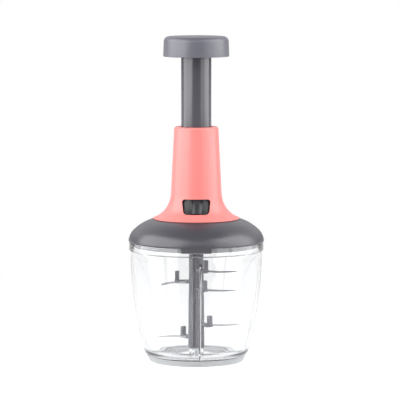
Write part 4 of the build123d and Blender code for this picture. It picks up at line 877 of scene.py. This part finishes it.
CLEAR_TINTS = (0.942, 0.948, 0.953), (0.957, 0.962, 0.967)
CLEAR_SHADOW = (0.95, 0.955, 0.96, 1)
MILKY_TINTS = (0.67, 0.68, 0.70), (0.74, 0.75, 0.76)

tree, shader, where = new_material("clear_plastic")
marks = use_group(tree, scratched, Vector=where, Scale=34.0)
skin = use_group(tree, moulded, Vector=where, Grain=60.0, Smooth=0.015, Dull=0.04)
roughened(tree, shader, skin.outputs["Roughness"], marks, HARD_SCRATCH_DULLS)
see_through(tree, shader, skin.outputs["Tone"], *CLEAR_TINTS, share=1.0, ior=1.5)
clear = node(tree, "ShaderNodeBsdfTransparent", None, Color=CLEAR_SHADOW)
shadow = tree.nodes.new("ShaderNodeLightPath").outputs["Is Shadow Ray"]
swap = node(
    tree, "ShaderNodeMixShader", None, i0=shadow, i1=shader.outputs[0], i2=clear.outputs[0],
)
tree.links.new(swap.outputs[0], tree.nodes["Material Output"].inputs["Surface"])

tree, shader, where = new_material("milky_ring")
skin = use_group(tree, moulded, Vector=where, Grain=1100.0, Smooth=0.38, Dull=0.5)
tree.links.new(skin.outputs["Roughness"], shader.inputs["Roughness"])
bumped(tree, shader, skin.outputs["Height"], 0.05)
see_through(tree, shader, skin.outputs["Tone"], *MILKY_TINTS, share=0.35, ior=1.45)
print("materials", len(materials))

# %% [markdown]
# ## Dressing every part
#
# New pieces take one material each. The engineering nodes that stay visible keep their
# meshes and get a material through their own slots.

# %% Assign materials
PIECE_FINISH = {
    "knob_cap": "slate_satin", "tube": "slate", "neck": "coral", "slider": "graphite",
    "dome": "slate_soft", "seal": "grey_silicone", "clear_bowl": "clear_plastic",
    "grip_ring": "milky_ring", "shaft_low": "shaft_grey", "shaft_high": "shaft_grey",
    "return_coil": "spring_wire", "clutch_coil": "spring_wire",
}
NODE_FINISH = {
    "slate_satin": ["knob_base"],
    "graphite": ["lock_ring", "output_hub"],
    "inner_grey": ["drive_cover", "drive_housing"],
    "white_acetal": [
        "plunger_guide_ring", "hub_bush", "drive_nut", "spiral_foot", "clutch_ring",
        "shaft_bush",
    ],
    "blade_steel": ["blade_top", "blade_upper", "blade_middle", "blade_lower", "blade_bottom"],
    "turned_steel": [
        "blade_pivot_pin", "cover_screws", "housing_screws", "neck_screws", "knob_screw",
        "spiral_rod", "thrust_washer",
    ],
    "spring_wire": ["hub_retaining_clip"],
}
for name, finish in PIECE_FINISH.items():
    pieces[name].data.materials.clear()
    pieces[name].data.materials.append(materials[finish])
dressed = 0
for finish, names in NODE_FINISH.items():
    for name in names:
        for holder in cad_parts[name].material_slots:
            holder.material = materials[finish]
        dressed += 1
print("dressed", len(PIECE_FINISH), "pieces and", dressed, "nodes")

# %% [markdown]
# ## Floor
#
# A product stands on white paper that runs up behind it without a horizon. A sheet could be
# bent up for that, but it would stand in the way of other views. This floor is a plane that
# is matt near the part, where it takes the soft shadow, and glows white further away, only
# for the camera and for what is mirrored or seen through clear plastic.

# %% Floor
bm = bmesh.new()
bmesh.ops.create_grid(bm, x_segments=1, y_segments=1, size=6.0)
floor = as_object(bm, "studio_floor")
WHITE, PAPER_GREY, NEAR_GLOW = (1, 1, 1, 1), (0.5, 0.5, 0.5, 1), 0.5
PAPER_FROM, PAPER_TO = 0.25, 0.7


def emission(tree, strength):
    """White light of a strength."""
    return node(tree, "ShaderNodeEmission", None, Color=WHITE, Strength=strength).outputs[0]


floor_mat = bpy.data.materials.new("pale_floor")
floor_mat.use_nodes = True
tree = floor_mat.node_tree
base = tree.nodes["Principled BSDF"]
base.inputs["Base Color"].default_value = PAPER_GREY
base.inputs["Roughness"].default_value = 0.9
base.inputs["Specular IOR Level"].default_value = 0.1
rays = tree.nodes.new("ShaderNodeLightPath").outputs
seen = math_node(tree, "MAXIMUM", rays["Is Camera Ray"], rays["Is Transmission Ray"])
seen = math_node(tree, "MAXIMUM", seen, rays["Is Glossy Ray"])
glow = emission(tree, math_node(tree, "MULTIPLY", seen, NEAR_GLOW))
near = node(tree, "ShaderNodeAddShader", None, i0=base.outputs[0], i1=glow).outputs[0]
spot = tree.nodes.new("ShaderNodeTexCoord").outputs["Object"]
away = node(tree, "ShaderNodeVectorMath", {"operation": "LENGTH"}, i0=spot).outputs["Value"]
far = math_node(tree, "MULTIPLY", remap(tree, away, PAPER_FROM, PAPER_TO), seen)
ground = node(tree, "ShaderNodeMixShader", None, i0=far, i1=near, i2=emission(tree, seen))
tree.links.new(ground.outputs[0], tree.nodes["Material Output"].inputs["Surface"])
floor.data.materials.append(floor_mat)
print("the floor turns white from", PAPER_FROM, "to", PAPER_TO, "m away")

# %% [markdown]
# ## World
#
# The backdrop is white for the camera and for what shows through clear plastic. Mirrored
# in a surface it is dim, as the dark walls around a camera are, and grows bright only
# behind and above the part. Otherwise every surface would look chalky. Dull surfaces get
# a weak, bluish light from all around.

# %% World
ROOM_TINT, ROOM_STRENGTH, DIMMEST = (0.95, 0.96, 1.0, 1), 0.28, 0.2
RAISED_FROM, RAISED_TO, BEHIND_FROM, BEHIND_TO = 0.08, 0.3, 0.2, 0.7
world = bpy.data.worlds.new("studio")
bpy.context.scene.world = world
world.use_nodes = True
tree = world.node_tree
room = tree.nodes["Background"]
room.inputs["Color"].default_value = ROOM_TINT
room.inputs["Strength"].default_value = ROOM_STRENGTH
white = node(tree, "ShaderNodeBackground", None, Color=WHITE, Strength=1.0)
rays = tree.nodes.new("ShaderNodeLightPath").outputs
mirrored = math_node(tree, "MINIMUM", rays["Glossy Depth"], 1.0)
straight = math_node(tree, "SUBTRACT", 1.0, mirrored)
through = math_node(tree, "MULTIPLY", rays["Is Transmission Ray"], straight)
seen = math_node(tree, "MAXIMUM", rays["Is Camera Ray"], through)
through_after = math_node(tree, "MULTIPLY", rays["Is Transmission Ray"], mirrored)
reflected = math_node(tree, "MAXIMUM", rays["Is Glossy Ray"], through_after)
towards = tree.nodes.new("ShaderNodeTexCoord").outputs["Generated"]
split = node(tree, "ShaderNodeSeparateXYZ", None, i0=towards)
raised = remap(tree, split.outputs["Z"], RAISED_FROM, RAISED_TO)
behind = remap(tree, split.outputs["Y"], BEHIND_FROM, BEHIND_TO)
bright = remap(tree, math_node(tree, "MULTIPLY", raised, behind), 0.0, 1.0, DIMMEST, 1.0)
glossy = math_node(tree, "MULTIPLY", reflected, bright)
seen = math_node(tree, "ADD", seen, glossy, clamp=True)
backdrop = node(
    tree, "ShaderNodeMixShader", None, i0=seen, i1=room.outputs[0], i2=white.outputs[0],
)
tree.links.new(backdrop.outputs[0], tree.nodes["World Output"].inputs["Surface"])
print("reflections see at least", DIMMEST, "of the white backdrop")

# %% [markdown]
# ## Soft panels
#
# A wide soft panel on each side gives the round parts their long highlights, and the gap
# between them leaves a dark stripe down the middle of each. A weaker panel fills in on the
# right, and a low one hangs high in front for the top of the dome. They are area lamps
# whose power follows from their radiance, so size and brightness can be set apart.

# %% Soft panels
PANEL_AWAY, PANEL_HEIGHT, PANEL_Z, PANEL_AIM = 1.25, 1.7, 0.72, 0.2
PANELS = {
    "panel_left": (-114, -27, 3.6), "panel_right": (58, 114, 3.6), "panel_fill": (33, 58, 2.1),
}
HIGH_SIZE, HIGH_AT, HIGH_AIM, HIGH_RADIANCE = (1.5, 0.6), (0, -1.3, 0.98), 0.13, 1.1


def put(thing, spot, target):
    """Stand a lamp or a camera at a spot and aim it at a target."""
    bpy.context.scene.collection.objects.link(thing)
    thing.location = spot
    aim = Vector(target) - Vector(spot)
    thing.rotation_euler = aim.to_track_quat("-Z", "Y").to_euler()
    print(thing.name, "at", [round(v, 2) for v in spot])


def panel(name, size, radiance, spot, aim_z):
    """An area lamp of a radiance that shines on a point of the axis."""
    lamp = bpy.data.lights.new(name, "AREA")
    lamp.shape, lamp.size, lamp.size_y = "RECTANGLE", *size
    lamp.energy = radiance * math.pi * lamp.size * lamp.size_y
    put(bpy.data.objects.new(name, lamp), spot, (0, 0, aim_z))


for name, (first, last, radiance) in PANELS.items():
    wide = 2 * PANEL_AWAY * math.tan(math.radians(last - first) / 2)
    a = math.radians(first + last) / 2
    spot = (math.sin(a) * PANEL_AWAY, -math.cos(a) * PANEL_AWAY, PANEL_Z)
    panel(name, (wide, PANEL_HEIGHT), radiance, spot, PANEL_AIM)
panel("panel_high", HIGH_SIZE, HIGH_RADIANCE, HIGH_AT, HIGH_AIM)

# %% [markdown]
# ## Camera
#
# A long lens from nearly three metres keeps the sides of the neck and the bowl from running
# together. Its focal length follows from the width that is seen at the plunger's axis.

# %% Camera
CAMERA_AT, CAMERA_TARGET = Vector((0.0037, -2.7, 0.4283)), Vector((0.0037, 0, 0.1603))
WIDTH_AT_AXIS, SENSOR = 0.3975, 36.0
camera = bpy.data.objects.new("camera", bpy.data.cameras.new("camera"))
put(camera, CAMERA_AT, CAMERA_TARGET)
bpy.context.scene.camera = camera
camera.data.sensor_width = SENSOR
camera.data.lens = SENSOR * (CAMERA_TARGET - CAMERA_AT).length / WIDTH_AT_AXIS
bpy.context.scene.view_settings.view_transform = "Standard"
print("lens", round(camera.data.lens, 1), "mm")
